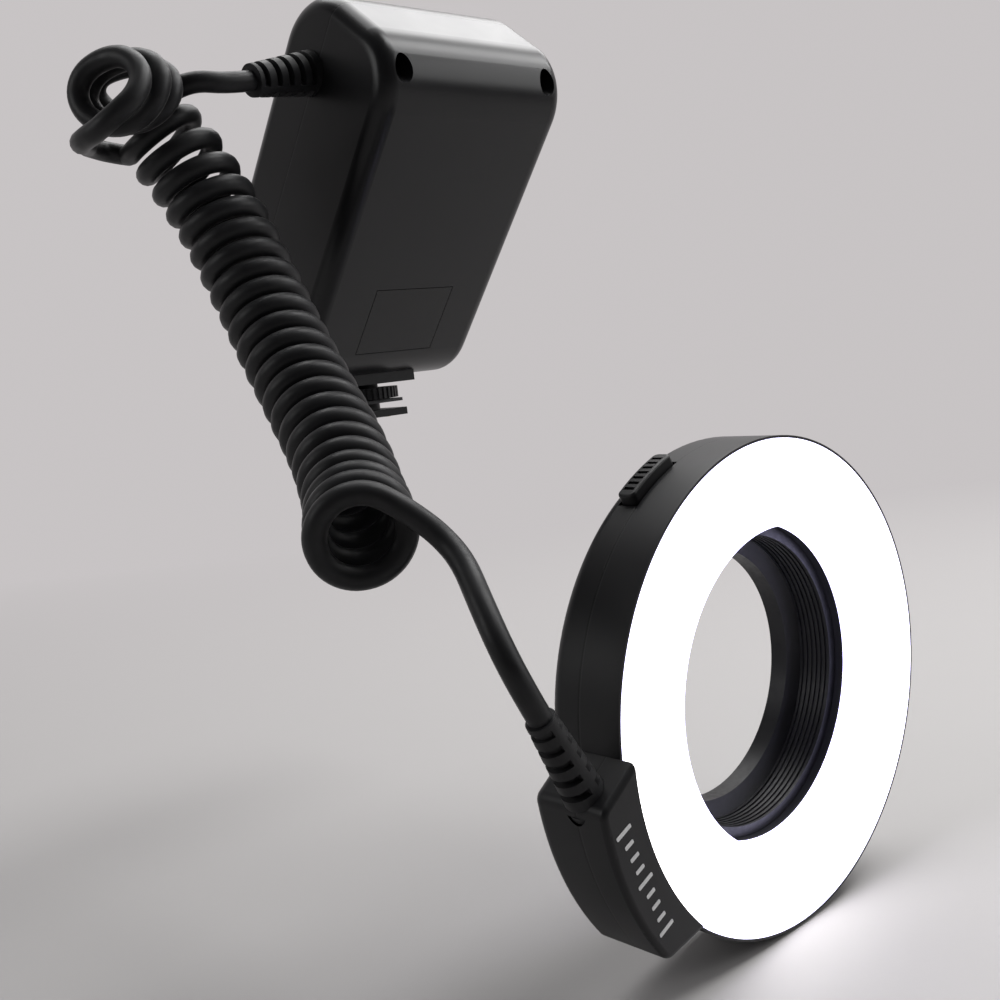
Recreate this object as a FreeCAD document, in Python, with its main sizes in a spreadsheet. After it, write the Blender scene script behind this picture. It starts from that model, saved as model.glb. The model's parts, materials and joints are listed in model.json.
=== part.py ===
import FreeCAD, Part
import math
import os
import re

import Sketcher
from FreeCAD import Placement, Rotation, Vector

# Macro ring light: ring head, pod, coiled cord and shoe-mounted controller.
# Millimetres. The origin is the centre of the seat that meets the lens rim.
# The light shines along -Y, +Y runs back along the lens, +Z is up.

SIZES = [
    # ring head
    ("ring_r", 52.0, "outer radius of the ring head"),
    ("bore_r", 33.4, "radius of the hole through the head"),
    ("head_depth", 18.0, "depth of the head, front to back"),
    ("front_depth", 10.0, "depth of the front shell"),
    ("head_wall", 2.0, "wall of the head shells"),
    ("head_edge_r", 3.2, "rounding of the rear edge of the head"),
    ("rim_t", 0.5, "thin rim round the diffuser"),
    ("diffuser_t", 2.0, "thickness of the diffuser face"),
    ("lip_t", 1.6, "thickness of the diffuser lip and of the bore tube"),
    ("lip_depth", 7.0, "depth of the diffuser lip"),
    ("fit_gap", 0.05, "gap between pieces that fit into each other"),
    ("seam_tongue", 1.6, "height of the tongue at the head seam"),
    ("tongue_t", 1.0, "thickness of that tongue"),
    ("board_t", 1.2, "thickness of the LED board"),
    ("board_back", 8.6, "distance from the front to the back of the LED board"),
    ("board_r", 48.0, "outer radius of the LED board"),
    ("collar_r", 37.0, "collar on the bore tube that carries the board"),
    ("collar_t", 1.2, "thickness of that collar"),
    ("led_w", 3.0, "side of an LED"),
    ("led_h", 1.9, "height of an LED"),
    ("led_inner_r", 39.0, "radius of the inner circle of LEDs"),
    ("led_outer_r", 44.5, "radius of the outer circle of LEDs"),
    ("led_count", 24, "LEDs in each circle"),
    ("post_ring_r", 45.7, "radius of the circle of head screws"),
    ("post_r", 2.2, "radius of the screw posts"),
    ("screw_r", 1.2, "radius of a small screw"),
    ("screw_head_r", 2.0, "radius of a small screw's head"),
    ("screw_head_h", 1.2, "height of a small screw's head"),
    # latches
    ("latch_angle", 117.0, "angle of the upper latch, from +X towards +Z"),
    ("latch_front", 10.3, "distance from the front to the latch button"),
    ("latch_w", 4.2, "width of the latch button along the axis"),
    ("latch_half", 7.2, "half length of the latch button"),
    ("latch_corner_r", 1.2, "rounding of the button's corners"),
    ("latch_edge_r", 0.5, "rounding of the button's outer edge"),
    ("latch_proud", 2.2, "how far the button stands out of the head"),
    ("latch_root_r", 50.3, "inner radius of the button"),
    ("latch_gap", 0.3, "gap round the button"),
    ("notch_depth", 3.9, "how deep a notch goes below the button's root"),
    ("latch_travel", 1.6, "travel of a latch"),
    ("layer_t", 1.5, "thickness of a latch yoke"),
    ("layer_a", 10.2, "distance from the front to the upper latch's yoke"),
    ("layer_b", 12.2, "distance from the front to the lower latch's yoke"),
    ("yoke_in_r", 37.2, "inner radius of a yoke"),
    ("yoke_out_r", 41.0, "outer radius of a yoke"),
    ("stem_half", 5.0, "half width of the stem below a button"),
    ("claw_half", 4.0, "half width of a claw"),
    ("claw_r", 32.4, "radius at the tip of a claw"),
    ("rib_pitch", 1.7, "pitch of the ribs on a button"),
    ("rib_groove", 0.8, "width of a groove between the ribs"),
    ("rib_depth", 1.1, "depth of a groove between the ribs"),
    # lens adapter
    ("flange_gap", 0.3, "gap between head and flange"),
    ("flange_t", 1.2, "thickness of the adapter's flange"),
    ("flange_r", 36.5, "radius of the adapter's flange"),
    ("spigot_gap", 0.08, "running gap between spigot and bore tube"),
    ("spigot_front", 9.0, "distance from the front to the spigot"),
    ("spigot_in_r", 31.0, "inner radius of the spigot"),
    ("groove_r", 32.0, "radius at the bottom of the latch groove"),
    ("groove_gap", 0.3, "gap between claws and groove"),
    ("thread_r", 29.0, "radius of the 58 mm lens thread"),
    ("thread_len", 3.0, "length of the lens thread"),
    ("thread_in_r", 27.5, "inner radius of the lens thread"),
    ("baffle_pitch", 1.2, "pitch of the fine ribs in the adapter"),
    ("baffle_depth", 0.35, "depth of the fine ribs"),
    ("baffle_count", 6, "number of fine grooves"),
    # pod
    ("pod_angle", 202.5, "angle of the middle of the pod"),
    ("pod_fit", 0.1, "gap between pod and head"),
    ("pod_out", 9.7, "how far the pod stands out of the head"),
    ("pod_foot_half", 20.2, "half length of the pod at the head"),
    ("pod_foot_r", 47.9, "where that half length is measured"),
    ("pod_top_half", 17.9, "half length of the pod at its outer edge"),
    ("pod_top_r", 59.0, "where that half length is measured"),
    ("pod_draw_low", 40.0, "inner end of the pod's outline before it is trimmed"),
    ("pod_draw_high", 70.0, "outer end of that outline"),
    ("pod_proud", 3.5, "how far the pod stands in front of the head"),
    ("pod_seam", 3.5, "pod seam behind the front of the head"),
    ("pod_back", 14.5, "back of the pod behind the front of the head"),
    ("pod_wall", 1.6, "wall of the pod"),
    ("pod_corner_r", 2.6, "rounding of the pod's outer corners"),
    ("pod_edge_r", 1.2, "rounding of the pod's front edge"),
    ("pod_rear_r", 2.4, "rounding of the pod's rear edge"),
    ("wire_half", 3.0, "half width of the window for the pod's wires"),
    ("pod_board_half", 12.0, "half length of the terminal board"),
    ("pod_board_w", 5.0, "width of the terminal board"),
    ("pod_board_r", 56.4, "radius at the middle of the terminal board"),
    ("pod_post", 9.0, "distance of a pod screw from the pod's middle"),
    ("pod_post_r", 2.1, "radius of a pod screw post"),
    # cord
    ("cord_r", 2.35, "radius of the cord"),
    ("relief_a_r", 4.1, "root radius of the pod's strain relief"),
    ("relief_a_tip", 2.9, "tip radius of the pod's strain relief"),
    ("relief_b_r", 5.35, "root radius of the controller's strain relief"),
    ("relief_b_tip", 3.75, "tip radius of the controller's strain relief"),
    ("relief_a_len", 18.8, "length of the pod's strain relief outside the wall"),
    ("relief_b_len", 17.8, "length of the controller's strain relief outside the wall"),
    ("relief_neck_r", 3.0, "radius of a strain relief in the wall"),
    ("relief_collar_t", 1.4, "thickness of the collar behind the wall"),
    ("relief_collar_w", 1.2, "how far the collar stands out of the neck"),
    ("relief_collar_gap", 0.4, "gap round the collar"),
    ("relief_core_r", 2.45, "core that the slots of a strain relief leave"),
    ("relief_slot", 1.5, "width of a slot in a strain relief"),
    ("relief_web", 0.9, "half width of the web between two slots"),
    # controller
    ("ctl_half", 29.0, "half width of the controller"),
    ("ctl_tilt", 39.0, "forward lean of the controller"),
    ("ctl_top", 44.8, "top of the controller above its own origin"),
    ("ctl_drop", 45.35, "foot of the front face below that origin"),
    ("ctl_sole", 11.8, "depth where the level sole under the controller ends"),
    ("ctl_sole_r", 5.0, "rounding where the sole ends"),
    ("ctl_heel", 45.0, "heel of the back face below the controller's origin"),
    ("ctl_seam", 26.5, "depth of the front shell"),
    ("ctl_depth", 42.7, "depth of the controller"),
    ("ctl_wall", 2.2, "wall of the controller shells"),
    ("ctl_top_r", 14.0, "rounding at the top of the front"),
    ("ctl_rear_r", 16.0, "rounding at the top of the back"),
    ("ctl_toe_r", 16.0, "rounding at the bottom of the front"),
    ("ctl_heel_r", 7.0, "rounding at the bottom of the back"),
    ("ctl_edge_r", 4.3, "rounding of the side edges"),
    ("case_screw_x", 23.0, "distance of a case screw from the middle"),
    ("case_screw_z", 40.0, "height of the case screws"),
    ("case_hole_r", 2.5, "radius of the deep hole over a case screw"),
    ("case_hole_end", 20.0, "depth where that hole ends"),
    ("case_boss_r", 4.0, "radius of the boss round a case screw"),
    ("case_screw_len", 14.0, "length of a case screw"),
    ("panel_x", 0.75, "middle of the front panel"),
    ("panel_half", 12.75, "half width of the front panel"),
    ("panel_low", -37.0, "lower edge of the front panel"),
    ("panel_high", -17.2, "upper edge of the front panel"),
    ("panel_t", 1.3, "thickness of the front panel"),
    ("panel_gap", 0.2, "gap round the front panel"),
    # controller back: display, board, keys
    ("window_half", 21.0, "half width of the display window"),
    ("window_low", -1.0, "lower edge of the display window"),
    ("window_high", 25.0, "upper edge of the display window"),
    ("window_t", 1.5, "thickness of the display window"),
    ("window_rim", 2.2, "ledge that carries the window"),
    ("pcb_half", 24.0, "half width of the main board"),
    ("pcb_low", -41.0, "lower edge of the main board"),
    ("pcb_high", 31.0, "upper edge of the main board"),
    ("pcb_t", 1.6, "thickness of the main board"),
    ("pcb_room", 3.8, "room between main board and back wall"),
    ("pcb_post_x", 21.0, "distance of a board post from the middle"),
    ("pcb_post_low", -38.4, "height of the lower board posts"),
    ("pcb_post_high", 28.0, "height of the upper board posts"),
    ("pcb_post_r", 2.4, "radius of a board post"),
    ("key_r", 4.0, "radius of a key"),
    ("key_gap", 0.25, "gap round a key"),
    ("key_proud", 1.2, "how far a key stands out"),
    ("key_travel", 0.8, "travel of a key"),
    ("key_flange_r", 4.9, "flange that keeps a key in"),
    ("key_flange_t", 0.6, "thickness of that flange"),
    ("key_rest_gap", 0.1, "gap left under a pressed key"),
    ("key_row_top", -11.0, "height of the upper row of keys"),
    ("key_row_low", -24.0, "height of the lower row of keys"),
    ("key_top_x", 10.0, "distance of an upper key from the middle"),
    ("key_low_x", 14.0, "distance of an outer lower key from the middle"),
    ("switch_half", 2.6, "half side of a key switch"),
    ("slider_z", -35.8, "height of the power slider"),
    ("slider_half", 2.0, "half height of the slider's knob"),
    ("slider_len", 5.6, "length of the slider's knob"),
    ("slider_travel", 4.0, "travel of the power slider"),
    # batteries and door
    ("cell_r", 7.25, "radius of an AA cell"),
    ("cell_len", 50.5, "length of an AA cell with its nub"),
    ("cell_nub_r", 2.7, "radius of the nub"),
    ("cell_nub_len", 1.0, "length of the nub"),
    ("cell_y", 12.6, "depth of the cells' axes"),
    ("cell_z", -29.5, "height of the lowest cell"),
    ("cell_pitch", 15.2, "pitch of the cells"),
    ("cell_room", 0.1, "room round a cell in its trough"),
    ("contact_t", 1.25, "thickness of a battery contact"),
    ("contact_half", 4.0, "half width of a battery contact"),
    ("door_front", 5.0, "front edge of the battery opening"),
    ("door_low", -38.0, "lower edge of the battery opening"),
    ("door_high", 24.6, "upper edge of the battery opening"),
    ("door_t", 1.8, "thickness of the battery door"),
    ("door_gap", 0.2, "gap round the battery door"),
    ("hinge_y", 22.8, "depth of the door's hinge"),
    ("hinge_r", 1.6, "radius of the door's barrel"),
    ("pin_r", 0.75, "radius of the hinge pin"),
    ("pin_gap", 0.05, "running gap round the hinge pin"),
    ("pin_reach", 2.0, "how far the pin goes into each lug"),
    # shoe foot
    ("foot_y", 116.5, "axis of the shoe foot behind the lens seat"),
    ("foot_back", 11.73, "foot axis behind the toe of the controller"),
    ("shoe_z", 60.0, "height of the shoe plate's underside"),
    ("shoe_half", 9.3, "half width of the shoe plate"),
    ("plate_t", 2.0, "thickness of the shoe plate"),
    ("rail_t", 1.9, "room for the rails of the shoe"),
    ("clamp_half", 8.6, "half width of the clamp plate"),
    ("clamp_t", 0.9, "thickness of the clamp plate"),
    ("clamp_travel", 0.9, "travel of the clamp plate"),
    ("stop_gap", 0.2, "gap left when the clamp is fully open"),
    ("wheel_gap", 0.3, "gap between clamp plate and wheel"),
    ("wheel_r", 11.0, "radius of the lock wheel"),
    ("wheel_t", 3.1, "thickness of the lock wheel"),
    ("knurl_r", 0.45, "radius of a knurl groove"),
    ("knurl_count", 40, "number of knurl grooves"),
    ("neck_r", 5.5, "radius of the neck"),
    ("neck_gap", 0.06, "running gap round the neck"),
    ("pedestal_t", 2.0, "thickness of the pedestal"),
    ("pedestal_half", 13.0, "half width of the pedestal"),
    ("pedestal_front", 9.5, "pedestal in front of the foot axis"),
    ("pedestal_back", 10.5, "pedestal behind the foot axis"),
    ("contact_r", 0.9, "radius of a contact pin"),
    ("centre_contact_r", 1.3, "radius of the centre contact"),
    ("contact_proud", 0.25, "how far a contact pin stands out"),
    ("contact_ring", 5.2, "distance of the outer contacts from the centre"),
]

doc = FreeCAD.newDocument("macro_ring_light")
dims = doc.addObject("Spreadsheet::Sheet", "dims")
for row, (alias, number, meaning) in enumerate(SIZES, 1):
    dims.set("A%d" % row, meaning)
    dims.set("B%d" % row, str(number))
    dims.setAlias("B%d" % row, alias)
doc.recompute()

# Heights and depths that several pieces share, written in the sheet's names.
FRONT = "(-head_depth - flange_gap - flange_t)"
REAR = "(-flange_gap - flange_t)"
SEAM = f"({FRONT} + front_depth)"
TUBE_R = "(bore_r + lip_t)"
INNER_R = "(ring_r - head_wall)"
BOARD = f"({FRONT} + board_back)"
POD_FRONT = f"({FRONT} - pod_proud)"
POD_SEAM = f"({FRONT} + pod_seam)"
POD_BACK = f"({FRONT} + pod_back)"
POD_IN_R = "(ring_r + pod_fit)"
POD_OUT_R = "(ring_r + pod_out)"
COLLAR_R = "(relief_neck_r + relief_collar_w)"
INSIDE = "(ctl_depth - ctl_wall)"
PCB_BACK = f"({INSIDE} - pcb_room)"
PCB_FRONT = f"({PCB_BACK} - pcb_t)"
KEY_REST = f"({INSIDE} - key_gap - key_flange_t)"
SWITCH_TOP = f"({KEY_REST} - key_travel - key_rest_gap)"
SIDE_IN = "(ctl_half - ctl_wall)"
HINGE_X = "(ctl_half - hinge_r)"
DOOR_BACK = "(hinge_y + hinge_r + latch_gap)"
PLATE_TOP = "(shoe_z + plate_t)"
CLAMP_LOW = f"({PLATE_TOP} + rail_t)"
WHEEL_LOW = f"({CLAMP_LOW} + clamp_t + wheel_gap)"
PED_LOW = f"({WHEEL_LOW} + wheel_t + clamp_travel + stop_gap)"
BASE_Z = f"({PED_LOW} + pedestal_t)"

nodes = {}


def size(alias):
    """Number in the sheet under this alias."""
    return float(dims.get(alias))


def expr(text):
    """The text with each size named as a cell of the sheet."""
    return re.sub(r"\b([a-z][a-z0-9_]*)\b(?!\()", r"dims.\1", text)


def bind(thing, prop, text):
    """Tie one property to an expression of the sheet's sizes."""
    thing.setExpression(prop, expr(text))


def box(name, x, y, z):
    """Box between three pairs of expressions."""
    thing = doc.addObject("Part::Box", name)
    for prop, axis, (low, high) in (("Length", "x", x), ("Width", "y", y), ("Height", "z", z)):
        bind(thing, prop, f"({high}) - ({low})")
        bind(thing, "Placement.Base." + axis, low)
    return thing


def cylinder(name, axis, radius, at, span):
    """Cylinder along an axis, at two coordinates, between two others."""
    thing = doc.addObject("Part::Cylinder", name)
    low, high = span
    bind(thing, "Radius", radius)
    bind(thing, "Height", f"({high}) - ({low})")
    turns = {"x": Rotation(Vector(0, 1, 0), 90), "y": Rotation(Vector(1, 0, 0), -90), "z": Rotation()}
    bases = {"x": (low, at[0], at[1]), "y": (at[0], low, at[1]), "z": (at[0], at[1], low)}
    thing.Placement = Placement(Vector(), turns[axis])
    for letter, text in zip("xyz", bases[axis]):
        bind(thing, "Placement.Base." + letter, text)
    return thing


def fuse(name, things):
    thing = doc.addObject("Part::MultiFuse", name)
    thing.Shapes = things
    return thing


def cut(name, base, tools):
    """Base without the tools."""
    tool = tools[0] if len(tools) == 1 else fuse(name + "_tools", tools)
    thing = doc.addObject("Part::Cut", name)
    thing.Base = base
    thing.Tool = tool
    return thing


def common(name, things):
    thing = doc.addObject("Part::MultiCommon", name)
    thing.Shapes = things
    return thing


def group(name, things):
    """Solids that lie apart but are alike, kept as one compound."""
    thing = doc.addObject("Part::Compound", name)
    thing.Links = things
    return thing


def seat(thing, frame):
    """Set the thing, drawn in a frame of its own, where it belongs."""
    if frame == "latch_upper":
        thing.Placement = Placement(Vector(), Rotation(Vector(0, -1, 0), 30))
        bind(thing, "Placement.Rotation.Angle", "latch_angle - 90")
    elif frame == "latch_lower":
        thing.Placement = Placement(Vector(), Rotation(Vector(0, 1, 0), 30))
        bind(thing, "Placement.Rotation.Angle", "270 - latch_angle")
    elif frame == "pod":
        thing.Placement = Placement(Vector(), Rotation(Vector(0, -1, 0), 30))
        bind(thing, "Placement.Rotation.Angle", "pod_angle - 90")
    elif frame == "controller":
        thing.Placement = Placement(Vector(), Rotation(Vector(1, 0, 0), 30))
        bind(thing, "Placement.Base.y", "foot_y - foot_back - sin(ctl_tilt) * ctl_drop")
        bind(thing, "Placement.Base.z", f"{BASE_Z} + cos(ctl_tilt) * ctl_drop")
        bind(thing, "Placement.Rotation.Angle", "ctl_tilt")
    elif frame == "foot":
        bind(thing, "Placement.Base.y", "foot_y")
    return thing


def framed(name, thing, frame):
    """A copy of the thing in its frame, for use as a tool."""
    return seat(group(name, [thing]), frame)


def node(label, thing, frame=None):
    """Give a finished piece its label and its place."""
    if frame:
        if thing.TypeId in ("Part::Box", "Part::Cylinder"):
            thing = group(label + "_seated", [thing])
        seat(thing, frame)
    thing.Label = label
    nodes[label] = thing
    return thing


def sketch_on(body, role, name):
    """Sketch on one of the body's own origin planes."""
    sketch = body.newObject("Sketcher::SketchObject", name)
    plane = [f for f in body.Origin.OriginFeatures if f.Role == role][0]
    sketch.AttachmentSupport = [(plane, "")]
    sketch.MapMode = "FlatFace"
    return sketch


def fix_point(sketch, geometry, end, at, seed):
    """Hold one end of a curve at a pair of expressions."""
    for kind, text, axis, value in (("DistanceX", at[0], -2, seed.x), ("DistanceY", at[1], -1, seed.y)):
        if text == "0":
            sketch.addConstraint(Sketcher.Constraint("PointOnObject", geometry, end, axis))
        else:
            index = sketch.addConstraint(Sketcher.Constraint(kind, -1, 1, geometry, end, value))
            sketch.setExpression("Constraints[%d]" % index, expr(text))


def polygon(sketch, points):
    """Closed outline through pairs of expressions."""
    count = len(points)
    first = sketch.GeometryCount
    seeds = []
    for i in range(count):
        angle = 2 * math.pi * i / count
        seeds.append(Vector(20 * math.cos(angle) + 0.3, 20 * math.sin(angle) + 0.2, 0))
    for i in range(count):
        sketch.addGeometry(Part.LineSegment(seeds[i], seeds[(i + 1) % count]))
    for i in range(count):
        following = first + (i + 1) % count
        sketch.addConstraint(Sketcher.Constraint("Coincident", first + i, 2, following, 1))
    for i, point in enumerate(points):
        fix_point(sketch, first + i, 1, point, seeds[i])


def circle(sketch, at, radius):
    """Circle at a pair of expressions."""
    index = sketch.addGeometry(Part.Circle(Vector(3, 4, 0), Vector(0, 0, 1), 1))
    fix_point(sketch, index, 3, at, Vector(3, 4, 0))
    bound = sketch.addConstraint(Sketcher.Constraint("Radius", index, 1))
    sketch.setExpression("Constraints[%d]" % bound, expr(radius))


def lathe(name, role, points):
    """Body turned round the sketch's vertical axis."""
    body = doc.addObject("PartDesign::Body", name)
    sketch = sketch_on(body, role, name + "_profile")
    polygon(sketch, points)
    turn = body.newObject("PartDesign::Revolution", name + "_turn")
    turn.Profile = sketch
    turn.ReferenceAxis = (sketch, ["V_Axis"])
    turn.Angle = 360
    return body


def near(a, b, slack=0.01):
    return abs(a - b) < slack


def round_edges(body, name, radius, wanted):
    """Fillet those edges of the body's last feature that the test picks."""
    doc.recompute()
    last = body.Tip
    picked = []
    for i, edge in enumerate(last.Shape.Edges, 1):
        if wanted(edge):
            picked.append("Edge%d" % i)
    fillet = body.newObject("PartDesign::Fillet", name)
    fillet.Base = (last, picked)
    bind(fillet, "Radius", radius)
    return fillet


def round_solid(name, base, rules):
    """Round the edges of a solid: each rule has a radius and a test."""
    doc.recompute()
    fillet = doc.addObject("Part::Fillet", name)
    fillet.Base = base
    picked = []
    for radius, wanted in rules:
        for i, edge in enumerate(base.Shape.Edges, 1):
            if wanted(edge):
                picked.append((i, radius, radius))
    fillet.Edges = picked
    return fillet


def edge_middle(edge):
    return edge.valueAt((edge.FirstParameter + edge.LastParameter) / 2)


# Ring head: everything is turned about Y

diffuser = lathe("diffuser", "XY_Plane", [
    ("bore_r", FRONT),
    ("ring_r - rim_t - fit_gap", FRONT),
    ("ring_r - rim_t - fit_gap", f"{FRONT} + diffuser_t"),
    (TUBE_R, f"{FRONT} + diffuser_t"),
    (TUBE_R, f"{FRONT} + lip_depth"),
    ("bore_r", f"{FRONT} + lip_depth"),
])
node("diffuser_cover", diffuser)

front_ring = lathe("front_ring", "XY_Plane", [
    ("ring_r", FRONT),
    ("ring_r", SEAM),
    (INNER_R, SEAM),
    (INNER_R, f"{FRONT} + diffuser_t"),
    ("ring_r - rim_t", f"{FRONT} + diffuser_t"),
    ("ring_r - rim_t", FRONT),
])

rear_ring = lathe("rear_ring", "XY_Plane", [
    ("ring_r", SEAM),
    ("ring_r", REAR),
    (f"{TUBE_R} + fit_gap", REAR),
    (f"{TUBE_R} + fit_gap", f"{REAR} - head_wall"),
    (INNER_R, f"{REAR} - head_wall"),
    (INNER_R, f"{SEAM} + seam_tongue"),
    (f"{INNER_R} - fit_gap - tongue_t", f"{SEAM} + seam_tongue"),
    (f"{INNER_R} - fit_gap - tongue_t", f"{SEAM} - seam_tongue"),
    (f"{INNER_R} - fit_gap", f"{SEAM} - seam_tongue"),
    (f"{INNER_R} - fit_gap", SEAM),
])
back_y = -size("flange_gap") - size("flange_t")
round_edges(rear_ring, "rear_ring_edge", "head_edge_r", lambda e: (
    near(e.BoundBox.YMin, back_y) and near(e.BoundBox.YMax, back_y)
    and near(e.BoundBox.XMax, size("ring_r"))))

# Notches for the latch buttons in the rear shell, open towards the seam.
notches = []
for which in ("latch_upper", "latch_lower"):
    notch = box(which + "_notch", ("-latch_half - latch_gap", "latch_half + latch_gap"), (
        f"{FRONT} + latch_front - latch_gap", f"{FRONT} + latch_front + latch_w + latch_gap"), (
        "latch_root_r - notch_depth", "ring_r + 1"))
    notches.append(framed(which + "_notch_seated", notch, which))
notch_pair = fuse("latch_notches", notches)

# Window for the wires from the pod, behind the seam.
wire_window = box("wire_window", ("-wire_half", "wire_half"), (
    f"{SEAM} + 2 * seam_tongue", f"{REAR} - 2 * head_wall"), (f"{INNER_R} - head_wall", "ring_r + 1"))
wire_window_seated = framed("wire_window_seated", wire_window, "pod")

node("head_front_shell", front_ring)

posts = []
post_holes = []
screws = []
for i in range(4):
    turn = f"latch_angle + 45 + {90 * i}"
    at = (f"post_ring_r * cos({turn})", f"post_ring_r * sin({turn})")
    low = f"{REAR} - head_wall"
    posts.append(cylinder("head_post_%d" % i, "y", "post_r", at, (BOARD, f"{low} + 1")))
    post_holes.append(cylinder("head_post_hole_%d" % i, "y", "screw_r + fit_gap", at,
        (f"{BOARD} - 1", f"{REAR} + 1")))
    post_holes.append(cylinder("head_post_sink_%d" % i, "y", "screw_head_r + fit_gap", at, (
        f"{REAR} - screw_head_h", f"{REAR} + 1")))
    shank = cylinder("head_screw_shank_%d" % i, "y", "screw_r", at,
        (f"{BOARD} - board_t", f"{REAR} - screw_head_h"))
    head = cylinder("head_screw_head_%d" % i, "y", "screw_head_r", at, (f"{REAR} - screw_head_h", REAR))
    screws.append(fuse("head_screw_%d" % i, [shank, head]))
rear_solid = fuse("rear_ring_posts", [rear_ring] + posts)
node("head_rear_shell", cut("rear_ring_cut", rear_solid, [notch_pair, wire_window_seated] + post_holes))
node("head_screws", group("head_screw_set", screws))

tube = lathe("tube", "XY_Plane", [
    ("bore_r", f"{FRONT} + lip_depth"),
    (TUBE_R, f"{FRONT} + lip_depth"),
    (TUBE_R, BOARD),
    ("collar_r", BOARD),
    ("collar_r", f"{BOARD} + collar_t"),
    (TUBE_R, f"{BOARD} + collar_t"),
    (TUBE_R, REAR),
    ("bore_r", REAR),
])
slots = []
for which, layer in (("latch_upper", "layer_a"), ("latch_lower", "layer_b")):
    slot = box(which + "_slot", ("-claw_half - latch_gap", "claw_half + latch_gap"), (
        f"{FRONT} + {layer} - latch_gap", f"{FRONT} + {layer} + layer_t + latch_gap"), (
        "-collar_r - 1", "-claw_r + 3"))
    slots.append(framed(which + "_slot_seated", slot, which))
node("bore_tube", cut("tube_cut", tube, slots))

board_disc = cylinder("board_disc", "y", "board_r", ("0", "0"), (f"{BOARD} - board_t", BOARD))
board_hole = cylinder("board_hole", "y", f"{TUBE_R} + latch_gap", ("0", "0"),
    (f"{BOARD} - board_t - 1", f"{BOARD} + 1"))
board_holes = [board_hole]
for i in range(4):
    turn = f"latch_angle + 45 + {90 * i}"
    at = (f"post_ring_r * cos({turn})", f"post_ring_r * sin({turn})")
    board_holes.append(cylinder("board_screw_hole_%d" % i, "y", "screw_r + fit_gap", at, (
        f"{BOARD} - board_t - 1", f"{BOARD} + 1")))
node("led_board", cut("board_cut", board_disc, board_holes))

# LEDs: two circles of square chips on the front of the board.
front_y = -size("head_depth") - size("flange_gap") - size("flange_t")
chip_y = front_y + size("board_back") - size("board_t")
chips = []
for ring, radius in enumerate((size("led_inner_r"), size("led_outer_r"))):
    count = int(size("led_count"))
    for i in range(count):
        chip = Part.makeBox(size("led_w"), size("led_h"), size("led_w"), Vector(
            radius - size("led_w") / 2, chip_y - size("led_h"), -size("led_w") / 2))
        # the post screws come through between two chips of the outer circle
        turn = (i + 0.5 * ring) * 360.0 / count - size("latch_angle") - 45 - 180.0 / count
        chip.rotate(Vector(), Vector(0, 1, 0), turn)
        chips.append(chip)
leds = doc.addObject("Part::Feature", "led_chips")
leds.Shape = Part.makeCompound(chips)
node("leds", leds)

# Latches: button, stem, yoke round the bore, claw on the far side


def runs_up(edge):
    """Whether an edge runs along Z."""
    box_ = edge.BoundBox
    return box_.ZLength > 1 and box_.XLength < 0.01 and box_.YLength < 0.01


def at_button_top(edge):
    """Whether an edge lies on the button's outer face."""
    middle = edge_middle(edge)
    return near(math.hypot(middle.x, middle.z), size("ring_r") + size("latch_proud"))


for which, layer in (("latch_upper", "layer_a"), ("latch_lower", "layer_b")):
    depth = (f"{FRONT} + latch_front", f"{FRONT} + latch_front + latch_w")
    sheet_y = (f"{FRONT} + {layer}", f"{FRONT} + {layer} + layer_t")
    dome = cylinder(which + "_dome", "y", "ring_r + latch_proud", ("0", "0"), depth)
    block = box(which + "_block", ("-latch_half", "latch_half"), depth,
        ("latch_root_r - 4", "ring_r + latch_proud"))
    rounded_block = round_solid(which + "_corners", block, [(size("latch_corner_r"), runs_up)])
    plain_button = common(which + "_plain", [dome, rounded_block])
    button = round_solid(which + "_button", plain_button, [(size("latch_edge_r"), at_button_top)])
    hollow = cylinder(which + "_hollow", "y", "latch_root_r", ("0", "0"),
        (f"{depth[0]} - 1", f"{depth[1]} + 1"))
    grooves = [hollow]
    for i in range(-3, 4):
        grooves.append(box(which + "_groove_%d" % (i + 3), (
            f"rib_pitch * {i} - rib_groove / 2", f"rib_pitch * {i} + rib_groove / 2"), (
            f"{depth[0]} + rib_groove", f"{depth[1]} - rib_groove"), (
            "ring_r + latch_proud - rib_depth", "ring_r + latch_proud + 1")))
    ribbed = cut(which + "_ribbed", button, grooves)
    stem = box(which + "_stem", ("-stem_half", "stem_half"), sheet_y,
        ("yoke_out_r - 2", "latch_root_r + 0.6"))
    yoke = cylinder(which + "_yoke", "y", "yoke_out_r", ("0", "0"), sheet_y)
    claw = box(which + "_claw", ("-claw_half", "claw_half"), sheet_y, ("-yoke_in_r - 1", "-claw_r + 2"))
    eye = cylinder(which + "_eye", "y", "yoke_in_r", ("0", "0"), sheet_y)
    ring = cut(which + "_ring", yoke, [eye])
    tip = cylinder(which + "_tip", "y", "claw_r", ("0", "0"), sheet_y)
    tooth = cut(which + "_tooth", claw, [tip])
    node(which, fuse(which + "_whole", [ribbed, stem, ring, tooth]), which)

# Lens adapter

SPIGOT_R = "(bore_r - spigot_gap)"
adapter = lathe("adapter", "XY_Plane", [
    (SPIGOT_R, f"{FRONT} + spigot_front"),
    (SPIGOT_R, f"{FRONT} + layer_a - groove_gap"),
    ("groove_r", f"{FRONT} + layer_a - groove_gap"),
    ("groove_r", f"{FRONT} + layer_b + layer_t + groove_gap"),
    (SPIGOT_R, f"{FRONT} + layer_b + layer_t + groove_gap"),
    (SPIGOT_R, "-flange_t"),
    ("flange_r", "-flange_t"),
    ("flange_r", "0"),
    ("thread_r", "0"),
    ("thread_r", "thread_len"),
    ("thread_in_r", "thread_len"),
    ("thread_in_r", "-flange_t"),
    ("spigot_in_r", f"{REAR} - flange_t"),
    ("spigot_in_r", f"{FRONT} + spigot_front"),
])
baffle_sketch = sketch_on(adapter, "XY_Plane", "baffle_profile")
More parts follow.
